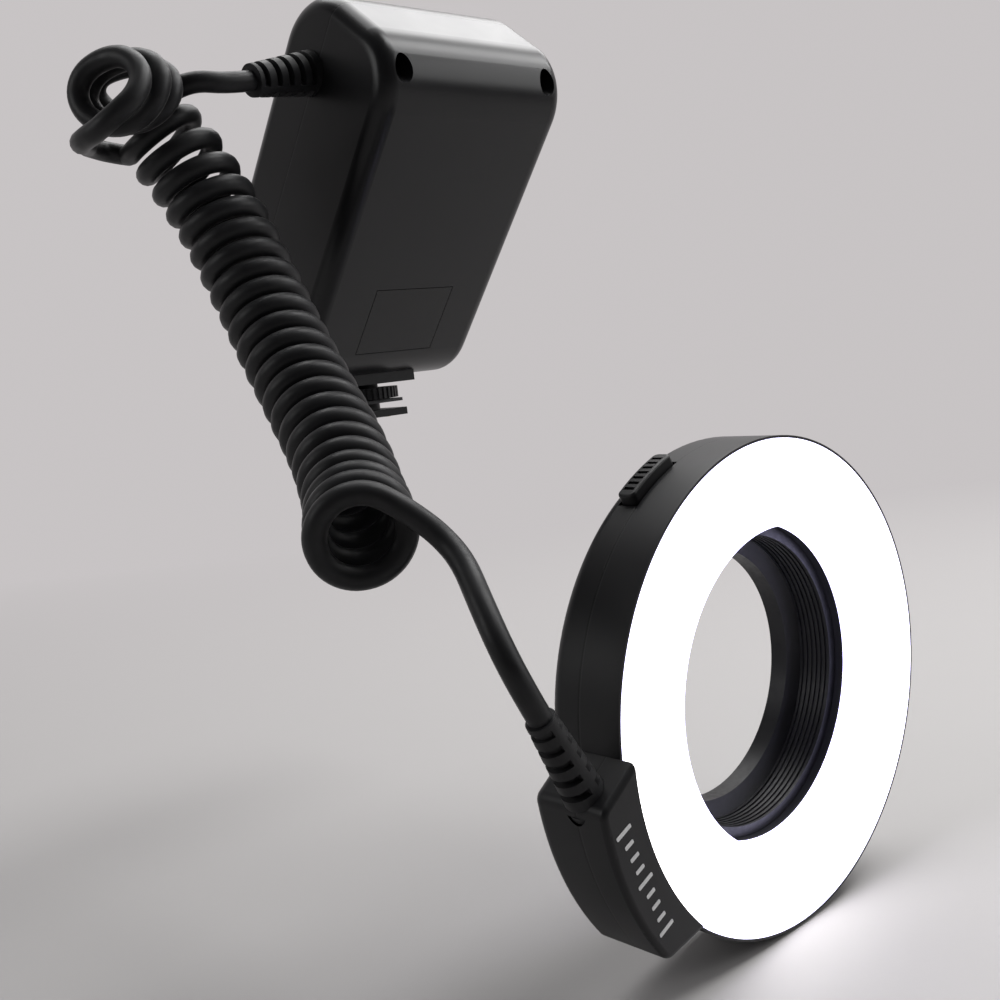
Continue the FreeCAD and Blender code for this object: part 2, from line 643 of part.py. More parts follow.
BAFFLE_Y = f"({FRONT} + spigot_front + baffle_pitch / 2)"
polygon(baffle_sketch, [
    ("spigot_in_r - 1", BAFFLE_Y),
    ("spigot_in_r + baffle_depth", BAFFLE_Y),
    ("spigot_in_r + baffle_depth", f"{BAFFLE_Y} + baffle_pitch / 2"),
    ("spigot_in_r - 1", f"{BAFFLE_Y} + baffle_pitch / 2"),
])
doc.recompute()
adapter_solid = adapter.Shape.Volume
baffle = adapter.newObject("PartDesign::Groove", "baffle_groove")
baffle.Profile = baffle_sketch
baffle.ReferenceAxis = (baffle_sketch, ["V_Axis"])
baffle.Angle = 360
doc.recompute()
baffles = adapter.newObject("PartDesign::LinearPattern", "baffle_pattern")
baffles.Originals = [baffle]
baffles.Direction = (baffle_sketch, ["V_Axis"])
bind(baffles, "Length", "baffle_pitch * (baffle_count - 1)")
bind(baffles, "Occurrences", "baffle_count")
adapter.Tip = baffles
doc.recompute()
print("adapter: the fine grooves take %.1f mm3" % (adapter_solid - adapter.Shape.Volume))
node("adapter_ring", adapter)

# Pod, drawn with its middle towards +Z and turned into place


def pod_block(name, wall, low, high):
    """Pod outline, less a wall all round, between two depths."""
    slope = "((pod_foot_half - pod_top_half) / (pod_top_r - pod_foot_r))"
    wide = f"(pod_foot_half - {slope} * (pod_draw_low - pod_foot_r) - {wall})"
    slim = f"(pod_foot_half - {slope} * (pod_draw_high - pod_foot_r) - {wall})"
    body = doc.addObject("PartDesign::Body", name + "_wedge")
    sketch = sketch_on(body, "XZ_Plane", name + "_outline")
    polygon(sketch, [
        ("-" + wide, "pod_draw_low"),
        (wide, "pod_draw_low"),
        (slim, "pod_draw_high"),
        ("-" + slim, "pod_draw_high"),
    ])
    pad = body.newObject("PartDesign::Pad", name + "_pad")
    pad.Profile = sketch
    pad.SideType = "Symmetric"
    pad.Length = 80
    rim = cylinder(name + "_rim", "y", f"{POD_OUT_R} - {wall}", ("0", "0"), (low, high))
    arch = cylinder(name + "_arch", "y", f"{POD_IN_R} + {wall}", ("0", "0"),
        (f"{low} - 1", f"{high} + 1"))
    return cut(name + "_sector", common(name + "_slab", [rim, body]), [arch])


def runs_deep(edge):
    """Whether an edge runs along Y at the pod's outer corners."""
    box_ = edge.BoundBox
    upright = box_.YLength > 2 and box_.XLength < 0.01
    return upright and math.hypot(box_.XMin, box_.ZMin) > size("ring_r") + 4


def at_depth(value):
    """Test for the outer edges in one plane across Y."""
    def test(edge):
        box_ = edge.BoundBox
        middle = edge_middle(edge)
        flat = near(box_.YMin, value) and near(box_.YMax, value)
        return flat and math.hypot(middle.x, middle.z) > size("ring_r") + 2
    return test


pod_front_y = front_y - size("pod_proud")
pod_back_y = front_y + size("pod_back")
pod_cap = round_solid("pod_cap_corners", pod_block("pod_cap", "0", POD_FRONT, POD_SEAM), [
    (size("pod_corner_r"), runs_deep)])
pod_cap = round_solid("pod_cap_edge", pod_cap, [(size("pod_edge_r"), at_depth(pod_front_y))])
pod_tub = round_solid("pod_tub_corners", pod_block("pod_tub", "0", POD_SEAM, POD_BACK), [
    (size("pod_corner_r"), runs_deep)])
pod_tub = round_solid("pod_tub_edge", pod_tub, [(size("pod_rear_r"), at_depth(pod_back_y))])
pod_room_front = pod_block("pod_room_front", "pod_wall", f"{POD_FRONT} + pod_wall", f"{POD_SEAM} + 1")
pod_room_back = pod_block("pod_room_back", "pod_wall", f"{POD_SEAM} - 1", f"{POD_BACK} - pod_wall")

# The strain relief leaves the pod's upper end on the seam.
RELIEF_TILT = 6.0
RELIEF_SLOTS = 5
FIRST_SLOT = 0.16
LAST_SLOT = 0.9
RELIEF_ROOT = (17.8, 55.8)


def relief(name, root_r, tip_r, length, neck_len):
    """Slotted cone along +Z with a neck and a collar below the origin."""
    cone = doc.addObject("Part::Cone", name + "_cone")
    bind(cone, "Radius1", root_r)
    bind(cone, "Radius2", tip_r)
    bind(cone, "Height", length)
    neck = cylinder(name + "_neck", "z", "relief_neck_r", ("0", "0"), (f"-{neck_len}", "1"))
    collar = cylinder(name + "_collar", "z", COLLAR_R, ("0", "0"), (
        f"-{neck_len} - relief_collar_t", f"-{neck_len}"))
    whole = fuse(name + "_solid", [cone, neck, collar])
    rings = []
    for i in range(RELIEF_SLOTS):
        part_way = FIRST_SLOT + (LAST_SLOT - FIRST_SLOT) * i / (RELIEF_SLOTS - 1)
        at = f"({length} * {part_way:.4f})"
        wide = cylinder(name + "_slot_%d" % i, "z", root_r + " + 1", ("0", "0"), (
            f"{at} - relief_slot / 2", f"{at} + relief_slot / 2"))
        core = cylinder(name + "_core_%d" % i, "z", "relief_core_r", ("0", "0"),
            (f"{at} - 2", f"{at} + 2"))
        web = box(name + "_web_%d" % i, ("-relief_web", "relief_web"), ("-9", "9"),
            (f"{at} - 2", f"{at} + 2"))
        rings.append(cut(name + "_cut_%d" % i, wide, [core, web]))
    return cut(name, whole, rings)


relief_a = relief("relief_a", "relief_a_r", "relief_a_tip", "relief_a_len", "pod_wall")
pod_turn = Rotation(Vector(0, -1, 0), size("pod_angle") - 90)
relief_a_local = Placement(Vector(RELIEF_ROOT[0], front_y + size("pod_seam"), RELIEF_ROOT[1]),
                           Rotation(Vector(0, 1, 0), 90 - RELIEF_TILT))
relief_a.Placement = Placement(Vector(), pod_turn).multiply(relief_a_local)
relief_a.Label = "pod_strain_relief"
nodes["pod_strain_relief"] = relief_a
relief_a_hole = cylinder("relief_a_hole", "z", "relief_neck_r + fit_gap", ("0", "0"), ("-6", "6"))
relief_a_hole_set = group("relief_a_hole_set", [relief_a_hole])
relief_a_hole_set.Placement = relief_a_local
relief_a_clear = cylinder("relief_a_clear", "z", f"{COLLAR_R} + relief_collar_gap", ("0", "0"), (
    "-pod_wall - relief_collar_t - 1", "-pod_wall"))
relief_a_clear_set = group("relief_a_clear_set", [relief_a_clear])
relief_a_clear_set.Placement = relief_a_local
relief_a_seat = doc.addObject("Part::Cone", "relief_a_seat")
bind(relief_a_seat, "Radius1", "relief_a_r + fit_gap")
bind(relief_a_seat, "Radius2", "relief_a_tip + fit_gap")
bind(relief_a_seat, "Height", "relief_a_len")
relief_a_seat_set = group("relief_a_seat_set", [relief_a_seat])
relief_a_seat_set.Placement = relief_a_local
relief_a_tools = [relief_a_hole_set, relief_a_clear_set, relief_a_seat_set]

pod_posts = []
pod_post_holes = []
pod_screws = []
pod_caps = []
pod_cap_holes = []
pod_board_holes = []
for i, side in enumerate(("-pod_post", "pod_post")):
    at = (side, "pod_board_r")
    top = f"{POD_SEAM} + board_t"
    pod_posts.append(cylinder("pod_post_%d" % i, "y", "pod_post_r", at,
        (top, f"{POD_BACK} - pod_wall + 0.5")))
    pod_post_holes.append(cylinder("pod_hole_%d" % i, "y", "screw_r + fit_gap", at,
        (POD_SEAM, f"{POD_BACK} + 1")))
    pod_post_holes.append(cylinder("pod_sink_%d" % i, "y", "screw_head_r - 0.2 + fit_gap", at, (
        f"{POD_BACK} - screw_head_h", f"{POD_BACK} + 1")))
    pod_caps.append(cylinder("pod_cap_post_%d" % i, "y", "pod_post_r", at,
        (f"{POD_FRONT} + pod_wall - 0.5", POD_SEAM)))
    pod_cap_holes.append(cylinder("pod_cap_hole_%d" % i, "y", "screw_r + fit_gap", at, (
        f"{POD_SEAM} - 4", f"{POD_SEAM} + 1")))
    pod_board_holes.append(cylinder("pod_board_hole_%d" % i, "y", "screw_r + fit_gap", at, (
        f"{POD_SEAM} - 1", f"{POD_SEAM} + board_t + 1")))
    shank = cylinder("pod_shank_%d" % i, "y", "screw_r", at,
        (f"{POD_SEAM} - 3.6", f"{POD_BACK} - screw_head_h"))
    head = cylinder("pod_head_%d" % i, "y", "screw_head_r - 0.2", at,
        (f"{POD_BACK} - screw_head_h", POD_BACK))
    pod_screws.append(fuse("pod_screw_%d" % i, [shank, head]))

pod_wire = box("pod_wire", ("-wire_half", "wire_half"), (
    f"{SEAM} + 2 * seam_tongue", f"{REAR} - 2 * head_wall"), ("ring_r - 1", f"{POD_IN_R} + pod_wall + 1"))
cap_hollow = cut("pod_cap_hollow", pod_cap, [pod_room_front])
cap_solid = fuse("pod_cap_posted", [cap_hollow] + pod_caps)
node("pod_front_cover", cut("pod_cap_done", cap_solid, pod_cap_holes + relief_a_tools), "pod")
tub_hollow = cut("pod_tub_hollow", pod_tub, [pod_room_back])
tub_solid = fuse("pod_tub_posted", [tub_hollow] + pod_posts)
node("pod_rear_housing", cut("pod_tub_done", tub_solid,
    pod_post_holes + relief_a_tools + [pod_wire]), "pod")
pod_board_blank = box(
    "pod_board_blank", ("-pod_board_half", "pod_board_half"), (POD_SEAM, f"{POD_SEAM} + board_t"),
    ("pod_board_r - pod_board_w / 2", "pod_board_r + pod_board_w / 2"))
node("pod_terminal_board", cut("pod_board_done", pod_board_blank, pod_board_holes), "pod")
node("pod_screws", group("pod_screw_set", pod_screws), "pod")

# Controller, drawn upright: y = 0 is the front face, z runs up the body

TAN = "tan(ctl_tilt)"
RISE = f"((ctl_drop + {TAN} * ctl_sole - ctl_heel) / (ctl_depth - ctl_sole))"


def case_block(name, inset, front, back, at_front):
    """Controller outline between two depths, less a wall all round, with or without its sole."""
    shrink = size("ctl_wall") if inset else 0.0
    less = " - ctl_wall" if inset else ""
    level_lift = "ctl_wall / cos(ctl_tilt)" if inset else "0"
    rise_lift = f"ctl_wall * sqrt(1 + {RISE} ^ 2)" if inset else "0"
    turn_y = f"(ctl_sole + ({level_lift} - {rise_lift}) / ({TAN} + {RISE}))"

    def level(y):
        return f"(-ctl_drop + {level_lift} - {TAN} * ({y}))"

    def rising(y):
        return f"(-ctl_drop - {TAN} * ctl_sole + {rise_lift} + {RISE} * ({y} - ctl_sole))"

    outline = [(back, rising(back)), (back, "ctl_top" + less), (front, "ctl_top" + less)]
    if at_front:
        outline += [(front, level(front)), (turn_y, level(turn_y))]
    else:
        outline += [(front, rising(front))]
    body = doc.addObject("PartDesign::Body", name)
    sketch = sketch_on(body, "YZ_Plane", name + "_side")
    polygon(sketch, outline)
    pad = body.newObject("PartDesign::Pad", name + "_pad")
    pad.Profile = sketch
    pad.SideType = "Symmetric"
    bind(pad, "Length", f"2 * (ctl_half{less})")
    return body, shrink


def across(y, low, high):
    """Test for an edge along X at a depth, between two heights."""
    def test(edge):
        middle = edge_middle(edge)
        return edge.BoundBox.XLength > 10 and near(middle.y, y) and low < middle.z < high
    return test


def side_edge(seam_y):
    """Test for the edges of the two side faces that don't lie in the seam."""
    def test(edge):
        box_ = edge.BoundBox
        in_seam = near(box_.YMin, seam_y) and near(box_.YMax, seam_y)
        return box_.XLength < 0.01 and not in_seam
    return test


def front_block(name, inset, seam_extra):
    y0 = "ctl_wall" if inset else "0"
    body, shrink = case_block(name, inset, y0, f"ctl_seam + {seam_extra}", True)
    less = " - ctl_wall" if inset else ""
    round_edges(body, name + "_top", "ctl_top_r" + less, across(shrink, 0, 99))
    round_edges(body, name + "_toe", "ctl_toe_r" + less, across(shrink, -99, 0))
    if not inset:
        round_edges(body, name + "_sole", "ctl_sole_r", across(size("ctl_sole"), -99, 0))
    round_edges(body, name + "_sides", "ctl_edge_r" + less,
        side_edge(size("ctl_seam") + float(seam_extra)))
    return body


def back_block(name, inset, seam_extra):
    less = " - ctl_wall" if inset else ""
    body, shrink = case_block(name, inset, f"ctl_seam - {seam_extra}", "ctl_depth" + less, False)
    end_y = size("ctl_depth") - shrink
    round_edges(body, name + "_top", "ctl_rear_r" + less, across(end_y, 0, 99))
    round_edges(body, name + "_heel", "ctl_heel_r" + less, across(end_y, -99, 0))
    round_edges(body, name + "_sides", "ctl_edge_r" + less,
        side_edge(size("ctl_seam") - float(seam_extra)))
    return body


front_case = front_block("front_case", False, "0")
front_room = front_block("front_room", True, "1")
back_case = back_block("back_case", False, "0")
back_room = back_block("back_room", True, "1")
doc.recompute()

# The controller's strain relief sits on the case seam, high on the left side.
RELIEF_B_ROOT = (28.2, 26.4)
RELIEF_B_WAY = Vector(-18.7, -3.15, -1.82)
relief_b_local = Placement(Vector(-size("ctl_half"), *RELIEF_B_ROOT),
                           Rotation(Vector(0, 0, 1), RELIEF_B_WAY))
relief_b = relief("relief_b", "relief_b_r", "relief_b_tip", "relief_b_len", "ctl_wall")
base_z = size("shoe_z") + size("plate_t") + size("rail_t") + size("clamp_t") + size("wheel_gap")
base_z += size("wheel_t") + size("clamp_travel") + size("stop_gap") + size("pedestal_t")
lean = math.radians(size("ctl_tilt"))
controller_place = Placement(Vector(
    0, size("foot_y") - size("foot_back") - math.sin(lean) * size("ctl_drop"),
    base_z + math.cos(lean) * size("ctl_drop")), Rotation(Vector(1, 0, 0), size("ctl_tilt")))
relief_b.Placement = controller_place.multiply(relief_b_local)
relief_b.Label = "controller_strain_relief"
nodes["controller_strain_relief"] = relief_b
relief_b_hole = cylinder("relief_b_hole", "z", "relief_neck_r + fit_gap", ("0", "0"),
    ("-ctl_wall - 0.7", "6"))
relief_b_hole_set = group("relief_b_hole_set", [relief_b_hole])
relief_b_hole_set.Placement = relief_b_local
relief_b_seat = cylinder("relief_b_seat", "z", "relief_b_r + fit_gap", ("0", "0"), ("0", "6"))
relief_b_seat_set = group("relief_b_seat_set", [relief_b_seat])
relief_b_seat_set.Placement = relief_b_local
relief_b_clear = cylinder("relief_b_clear", "z", f"{COLLAR_R} + relief_collar_gap", ("0", "0"), (
    "-ctl_wall - relief_collar_t - 1", "-ctl_wall"))
relief_b_clear_set = group("relief_b_clear_set", [relief_b_clear])
relief_b_clear_set.Placement = relief_b_local
relief_b_tools = [relief_b_hole_set, relief_b_seat_set, relief_b_clear_set]

case_bosses = []
back_bosses = []
case_holes = []
back_holes = []
case_screws = []
for i, side in enumerate(("-case_screw_x", "case_screw_x")):
    at = (side, "case_screw_z")
    case_bosses.append(cylinder("case_boss_%d" % i, "y", "case_boss_r", at, ("0", "ctl_seam")))
    back_bosses.append(cylinder("back_boss_%d" % i, "y", "case_boss_r", at, ("ctl_seam", "ctl_depth")))
    case_holes.append(cylinder("case_well_%d" % i, "y", "case_hole_r", at, ("-1", "case_hole_end")))
    case_holes.append(cylinder("case_bore_%d" % i, "y", "screw_r + fit_gap", at,
        ("case_hole_end - 1", "ctl_seam + 1")))
    back_holes.append(cylinder("back_bore_%d" % i, "y", "screw_r + fit_gap", at, (
        "ctl_seam - 1", "case_hole_end + case_screw_len + 0.6")))
    shank = cylinder("case_shank_%d" % i, "y", "screw_r", at,
        ("case_hole_end", "case_hole_end + case_screw_len"))
    head = cylinder("case_head_%d" % i, "y", "screw_head_r", at,
        ("case_hole_end - screw_head_h", "case_hole_end"))
    case_screws.append(fuse("case_screw_%d" % i, [shank, head]))

front_hollow = cut("front_hollow", front_case, [front_room])
front_bosses = common("front_bosses", [fuse("case_boss_pair", case_bosses), front_case])
lugs = []
LUG_SPANS = (
    ("door_low - pin_reach - 0.6", "door_low"),
    ("door_high", "door_high + pin_reach + 0.6"),
)
for i, (low, high) in enumerate(LUG_SPANS):
    lugs.append(cylinder("door_lug_%d" % i, "z", "hinge_r", (HINGE_X, "hinge_y"), (low, high)))
front_solid = fuse("front_solid", [front_hollow, front_bosses] + lugs)
panel_recess = box(
    "panel_recess", ("panel_x - panel_half - panel_gap", "panel_x + panel_half + panel_gap"),
    ("-1", "panel_t"), ("panel_low - panel_gap", "panel_high + panel_gap"))
door_opening = box("door_opening", (f"{SIDE_IN} - 1", "ctl_half + 1"), ("door_front", DOOR_BACK),
    ("door_low", "door_high"))
pin_hole = cylinder("pin_hole", "z", "pin_r + pin_gap", (HINGE_X, "hinge_y"), (
    "door_low - pin_reach", "door_high + pin_reach"))
node("controller_front_shell", cut("front_shell_done", front_solid, case_holes + relief_b_tools + [
    panel_recess, door_opening, pin_hole]), "controller")
node("front_panel", box("panel", ("panel_x - panel_half", "panel_x + panel_half"), ("0", "panel_t"), (
    "panel_low", "panel_high")), "controller")
node("case_screws", group("case_screw_set", case_screws), "controller")

# Keys: name, place along x, row height.
KEYS = (
    ("key_mode", "-key_top_x", "key_row_top"),
    ("key_lamp", "key_top_x", "key_row_top"),
    ("key_minus", "-key_low_x", "key_row_low"),
    ("key_test", "0", "key_row_low"),
    ("key_plus", "key_low_x", "key_row_low"),
)
back_tools = list(back_holes)
switches = []
for label, x, z in KEYS:
    back_tools.append(cylinder(label + "_hole", "y", "key_r + key_gap", (x, z),
        (f"{INSIDE} - 1", "ctl_depth + 1")))
    stalk = cylinder(label + "_stalk", "y", "key_r", (x, z), (KEY_REST, "ctl_depth + key_proud"))
    flange = cylinder(label + "_flange", "y", "key_flange_r", (x, z),
        (KEY_REST, f"{KEY_REST} + key_flange_t"))
    node(label, fuse(label + "_cap", [stalk, flange]), "controller")
    switches.append(box(
        label + "_switch", (f"{x} - switch_half", f"{x} + switch_half"), (PCB_BACK, SWITCH_TOP),
        (f"{z} - switch_half", f"{z} + switch_half")))
SLOT_HALF = "((slider_len + slider_travel) / 2 + panel_gap)"
back_tools.append(box("slider_slot", (f"-{SLOT_HALF}", SLOT_HALF), (f"{INSIDE} - 1", "ctl_depth + 1"), (
    "slider_z - slider_half - panel_gap", "slider_z + slider_half + panel_gap")))
knob_low = "(-(slider_len + slider_travel) / 2)"
knob = box(
    "slider_knob", (knob_low, f"{knob_low} + slider_len"),
    (f"{INSIDE} - key_gap - 1", "ctl_depth + key_proud"),
    ("slider_z - slider_half", "slider_z + slider_half"))
skirt = box(
    "slider_skirt", (f"{knob_low} - 2", f"{knob_low} + slider_len + 2"),
    (f"{INSIDE} - key_gap - 1", f"{INSIDE} - key_gap"),
    ("slider_z - slider_half - 1.4", "slider_z + slider_half + 1.4"))
node("power_slider", fuse("slider_whole", [knob, skirt]), "controller")
switches.append(box("slider_switch", ("-6", "6"), (PCB_BACK, f"{INSIDE} - key_gap - 1.3"), (
    "slider_z - slider_half - 0.6", "slider_z + slider_half + 0.6")))
node("key_switches", group("switch_set", switches), "controller")

back_tools.append(box("window_recess", ("-window_half - panel_gap", "window_half + panel_gap"), (
    "ctl_depth - window_t", "ctl_depth + 1"), ("window_low - panel_gap", "window_high + panel_gap")))
back_tools.append(box("window_hole", ("-window_half + window_rim", "window_half - window_rim"), (
    f"{INSIDE} - 1", "ctl_depth"), ("window_low + window_rim", "window_high - window_rim")))
node("display_window", box(
    "window", ("-window_half", "window_half"), ("ctl_depth - window_t", "ctl_depth"),
    ("window_low", "window_high")), "controller")
node("display_module", box(
    "module", ("-window_half", "window_half"), (PCB_BACK, f"{INSIDE} - panel_gap"),
    ("window_low", "window_high")), "controller")

pcb_posts = []
pcb_holes = []
pcb_screws = []
PCB_POSTS = (
    ("-pcb_post_x", "pcb_post_low"),
    ("pcb_post_x", "pcb_post_low"),
    ("-pcb_post_x", "pcb_post_high"),
    ("pcb_post_x", "pcb_post_high"),
)
for i, (x, z) in enumerate(PCB_POSTS):
    pcb_posts.append(cylinder("pcb_post_%d" % i, "y", "pcb_post_r", (x, z),
        (PCB_BACK, f"{INSIDE} + 0.5")))
    back_tools.append(cylinder("pcb_post_hole_%d" % i, "y", "screw_r + fit_gap", (x, z),
        (PCB_FRONT, f"{PCB_BACK} + 3.2")))
    pcb_holes.append(cylinder("pcb_hole_%d" % i, "y", "screw_r + fit_gap", (x, z),
        (f"{PCB_FRONT} - 1", f"{PCB_BACK} + 1")))
    shank = cylinder("pcb_shank_%d" % i, "y", "screw_r", (x, z), (PCB_FRONT, f"{PCB_BACK} + 3"))
    head = cylinder("pcb_head_%d" % i, "y", "screw_head_r", (x, z),
        (f"{PCB_FRONT} - screw_head_h", PCB_FRONT))
    pcb_screws.append(fuse("pcb_screw_%d" % i, [shank, head]))
pcb_blank = box("pcb_blank", ("-pcb_half", "pcb_half"), (PCB_FRONT, PCB_BACK), ("pcb_low", "pcb_high"))
node("main_board", cut("pcb_done", pcb_blank, pcb_holes), "controller")
node("board_screws", group("pcb_screw_set", pcb_screws), "controller")

back_hollow = cut("back_hollow", back_case, [back_room])
back_bosses_in = common("back_bosses_in", [fuse("back_boss_pair", back_bosses), back_case])
back_solid = fuse("back_solid", [back_hollow, back_bosses_in] + pcb_posts)
node("controller_back_shell", cut("back_shell_done", back_solid, back_tools + relief_b_tools),
    "controller")

# Batteries lie across the case in one column.
cells = []
troughs = []
fixed_contacts = []
door_contacts = []
for i in range(4):
    z = f"(cell_z + cell_pitch * {i})"
    ends = ("-cell_len / 2", "cell_len / 2")
    nub_first = i % 2 == 1
    shoulder = f"{ends[0]} + cell_nub_len" if nub_first else f"{ends[1]} - cell_nub_len"
    can_ends = (shoulder, ends[1]) if nub_first else (ends[0], shoulder)
    nub_ends = (ends[0], shoulder) if nub_first else (shoulder, ends[1])
    can = cylinder("cell_can_%d" % i, "x", "cell_r", ("cell_y", z), can_ends)
    nub = cylinder("cell_nub_%d" % i, "x", "cell_nub_r", ("cell_y", z), nub_ends)
    cells.append(fuse("cell_%d" % i, [can, nub]))
    troughs.append(cylinder("trough_%d" % i, "x", "cell_r + cell_room", ("cell_y", z), (
        "-cell_len / 2 - 2", "cell_len / 2 + 2")))
node("batteries", group("cell_set", cells), "controller")
tray = box("tray", ("-cell_len / 2", "cell_len / 2"), ("ctl_wall", "cell_y"), (
    "cell_z - cell_r - 0.3", "cell_z + cell_pitch * 3 + cell_r + 0.3"))
node("battery_tray", cut("tray_done", tray, troughs), "controller")
WIDE = ("cell_y - contact_half", "cell_y + contact_half")
for i, (low, high) in enumerate(((0, 0), (1, 2), (3, 3))):
    fixed_contacts.append(box(
        "fixed_contact_%d" % i, (f"-{SIDE_IN}", f"-{SIDE_IN} + contact_t"), WIDE,
        (f"cell_z + cell_pitch * {low} - contact_half", f"cell_z + cell_pitch * {high} + contact_half")))
node("fixed_contacts", group("fixed_contact_set", fixed_contacts), "controller")
for i, (low, high) in enumerate(((0, 1), (2, 3))):
    door_contacts.append(box(
        "door_contact_%d" % i, ("ctl_half - door_t - contact_t", "ctl_half - door_t"), WIDE,
        (f"cell_z + cell_pitch * {low} - contact_half", f"cell_z + cell_pitch * {high} + contact_half")))
node("door_contacts", group("door_contact_set", door_contacts), "controller")

leaf = box("door_leaf", ("ctl_half - door_t", "ctl_half"), ("door_front + door_gap", "hinge_y"), (
    "door_low + door_gap", "door_high - door_gap"))
barrel = cylinder("door_barrel", "z", "hinge_r", (HINGE_X, "hinge_y"),
    ("door_low + door_gap", "door_high - door_gap"))
door_bore = cylinder("door_bore", "z", "pin_r + pin_gap", (HINGE_X, "hinge_y"),
    ("door_low", "door_high"))
door_grips = [door_bore]
for i in range(3):
    door_grips.append(box("door_grip_%d" % i, ("ctl_half - 0.5", "ctl_half + 1"), (
        f"door_front + {2.0 + 1.6 * i}", f"door_front + {2.8 + 1.6 * i}"), (
        "(door_low + door_high) / 2 - 7", "(door_low + door_high) / 2 + 7")))
door_solid = fuse("door_solid", [leaf, barrel])
node("battery_door", cut("door_done", door_solid, door_grips), "controller")
node("door_pin", cylinder("hinge_pin", "z", "pin_r", (HINGE_X, "hinge_y"), (
    "door_low - pin_reach", "door_high + pin_reach")), "controller")

# Shoe foot, upright under the controller

pedestal_block = box("pedestal_block", ("-pedestal_half", "pedestal_half"), (
    "foot_y - pedestal_front", "foot_y + pedestal_back"), (PED_LOW, f"{BASE_Z} + 1.5"))
front_case_placed = framed("front_case_placed", front_case, "controller")
node("foot_pedestal", cut("pedestal_done", pedestal_block, [front_case_placed]))

shoe_plate = box(
    "shoe_plate", ("-shoe_half", "shoe_half"), ("foot_y - shoe_half", "foot_y + shoe_half"),
    ("shoe_z", PLATE_TOP))
neck = cylinder("neck", "z", "neck_r", ("0", "foot_y"), (f"{PLATE_TOP} - 0.5", PED_LOW))
contact_places = [("0", "0", "centre_contact_r")]
for i, (x, y) in enumerate(((-1, -1), (1, -1), (-1, 1), (1, 1))):
    contact_places.append((f"{x} * contact_ring", f"{y} * contact_ring", "contact_r"))
pins = []
pin_wells = []
for i, (x, y, radius) in enumerate(contact_places):
    at = (x, f"foot_y + {y}")
    pins.append(cylinder("contact_%d" % i, "z", radius, at,
        ("shoe_z - contact_proud", "shoe_z + plate_t / 2")))
    pin_wells.append(cylinder("contact_well_%d" % i, "z", f"{radius} + fit_gap", at,
        ("shoe_z - 1", "shoe_z + plate_t / 2")))
foot_solid = fuse("foot_solid", [shoe_plate, neck])
node("shoe_foot", cut("foot_done", foot_solid, pin_wells))
node("contact_pins", group("contact_set", pins))

clamp_block = box(
    "clamp_block", ("-clamp_half", "clamp_half"), ("foot_y - clamp_half", "foot_y + clamp_half"),
    (CLAMP_LOW, f"{CLAMP_LOW} + clamp_t"))
clamp_bore = cylinder("clamp_bore", "z", "neck_r + neck_gap", ("0", "foot_y"), (
    f"{CLAMP_LOW} - 1", f"{CLAMP_LOW} + clamp_t + 1"))
node("clamp_plate", cut("clamp_done", clamp_block, [clamp_bore]))

wheel = doc.addObject("PartDesign::Body", "wheel")
wheel_sketch = sketch_on(wheel, "XY_Plane", "wheel_profile")
circle(wheel_sketch, ("0", "0"), "wheel_r")
circle(wheel_sketch, ("0", "0"), "neck_r + neck_gap")
wheel_pad = wheel.newObject("PartDesign::Pad", "wheel_pad")
wheel_pad.Profile = wheel_sketch
bind(wheel_pad, "Length", "wheel_t")
doc.recompute()
knurl_sketch = sketch_on(wheel, "XY_Plane", "knurl_profile")
circle(knurl_sketch, ("wheel_r", "0"), "knurl_r")
knurl = wheel.newObject("PartDesign::Pocket", "knurl_groove")
knurl.Profile = knurl_sketch
knurl.Type = "ThroughAll"
knurl.Reversed = True
doc.recompute()
knurls = wheel.newObject("PartDesign::PolarPattern", "knurl_pattern")
knurls.Originals = [knurl]
knurls.Axis = (knurl_sketch, ["N_Axis"])
knurls.Angle = 360
bind(knurls, "Occurrences", "knurl_count")
wheel.Tip = knurls
bind(wheel, "Placement.Base.y", "foot_y")
bind(wheel, "Placement.Base.z", WHEEL_LOW)
node("lock_wheel", wheel)
doc.recompute()
hole_r = size("neck_r") + size("neck_gap")
whole_wheel = math.pi * (size("wheel_r") ** 2 - hole_r ** 2) * size("wheel_t")
print("lock wheel: the knurl takes %.1f mm3" % (whole_wheel - wheel.Shape.Volume))

# Cord, from the controller to the pod
#
# The coil is one tube. Its first turns are folded back on each other beside the
# controller and go through points set by hand, a quarter turn apart. The rest are
# rings whose centre, axis and radius run smoothly between the rows below.
COIL_FOLD = (
    (-65.9, 92.4, 138.6),
    (-69.5, 98.9, 137.3),
    (-74.0, 100.1, 140.1),
    (-69.0, 90.0, 145.4),
    (-67.3, 79.9, 137.6),
    (-73.6, 86.1, 132.0),
    (-79.4, 94.9, 138.7),
    (-73.4, 85.4, 145.3),
    (-71.9, 75.8, 138.9),
    (-79.1, 83.5, 130.6),
    (-83.4, 91.0, 138.8),
    (-78.4, 82.2, 144.7),
    (-77.7, 73.6, 138.0),
    (-85.3, 76.2, 129.6),
    (-86.5, 84.9, 127.7),
    (-81.3, 95.4, 129.0),
    (-74.4, 103.6, 130.0),
)
FOLD_HEADING = Vector(-0.48, 0.86, -0.22).normalize()
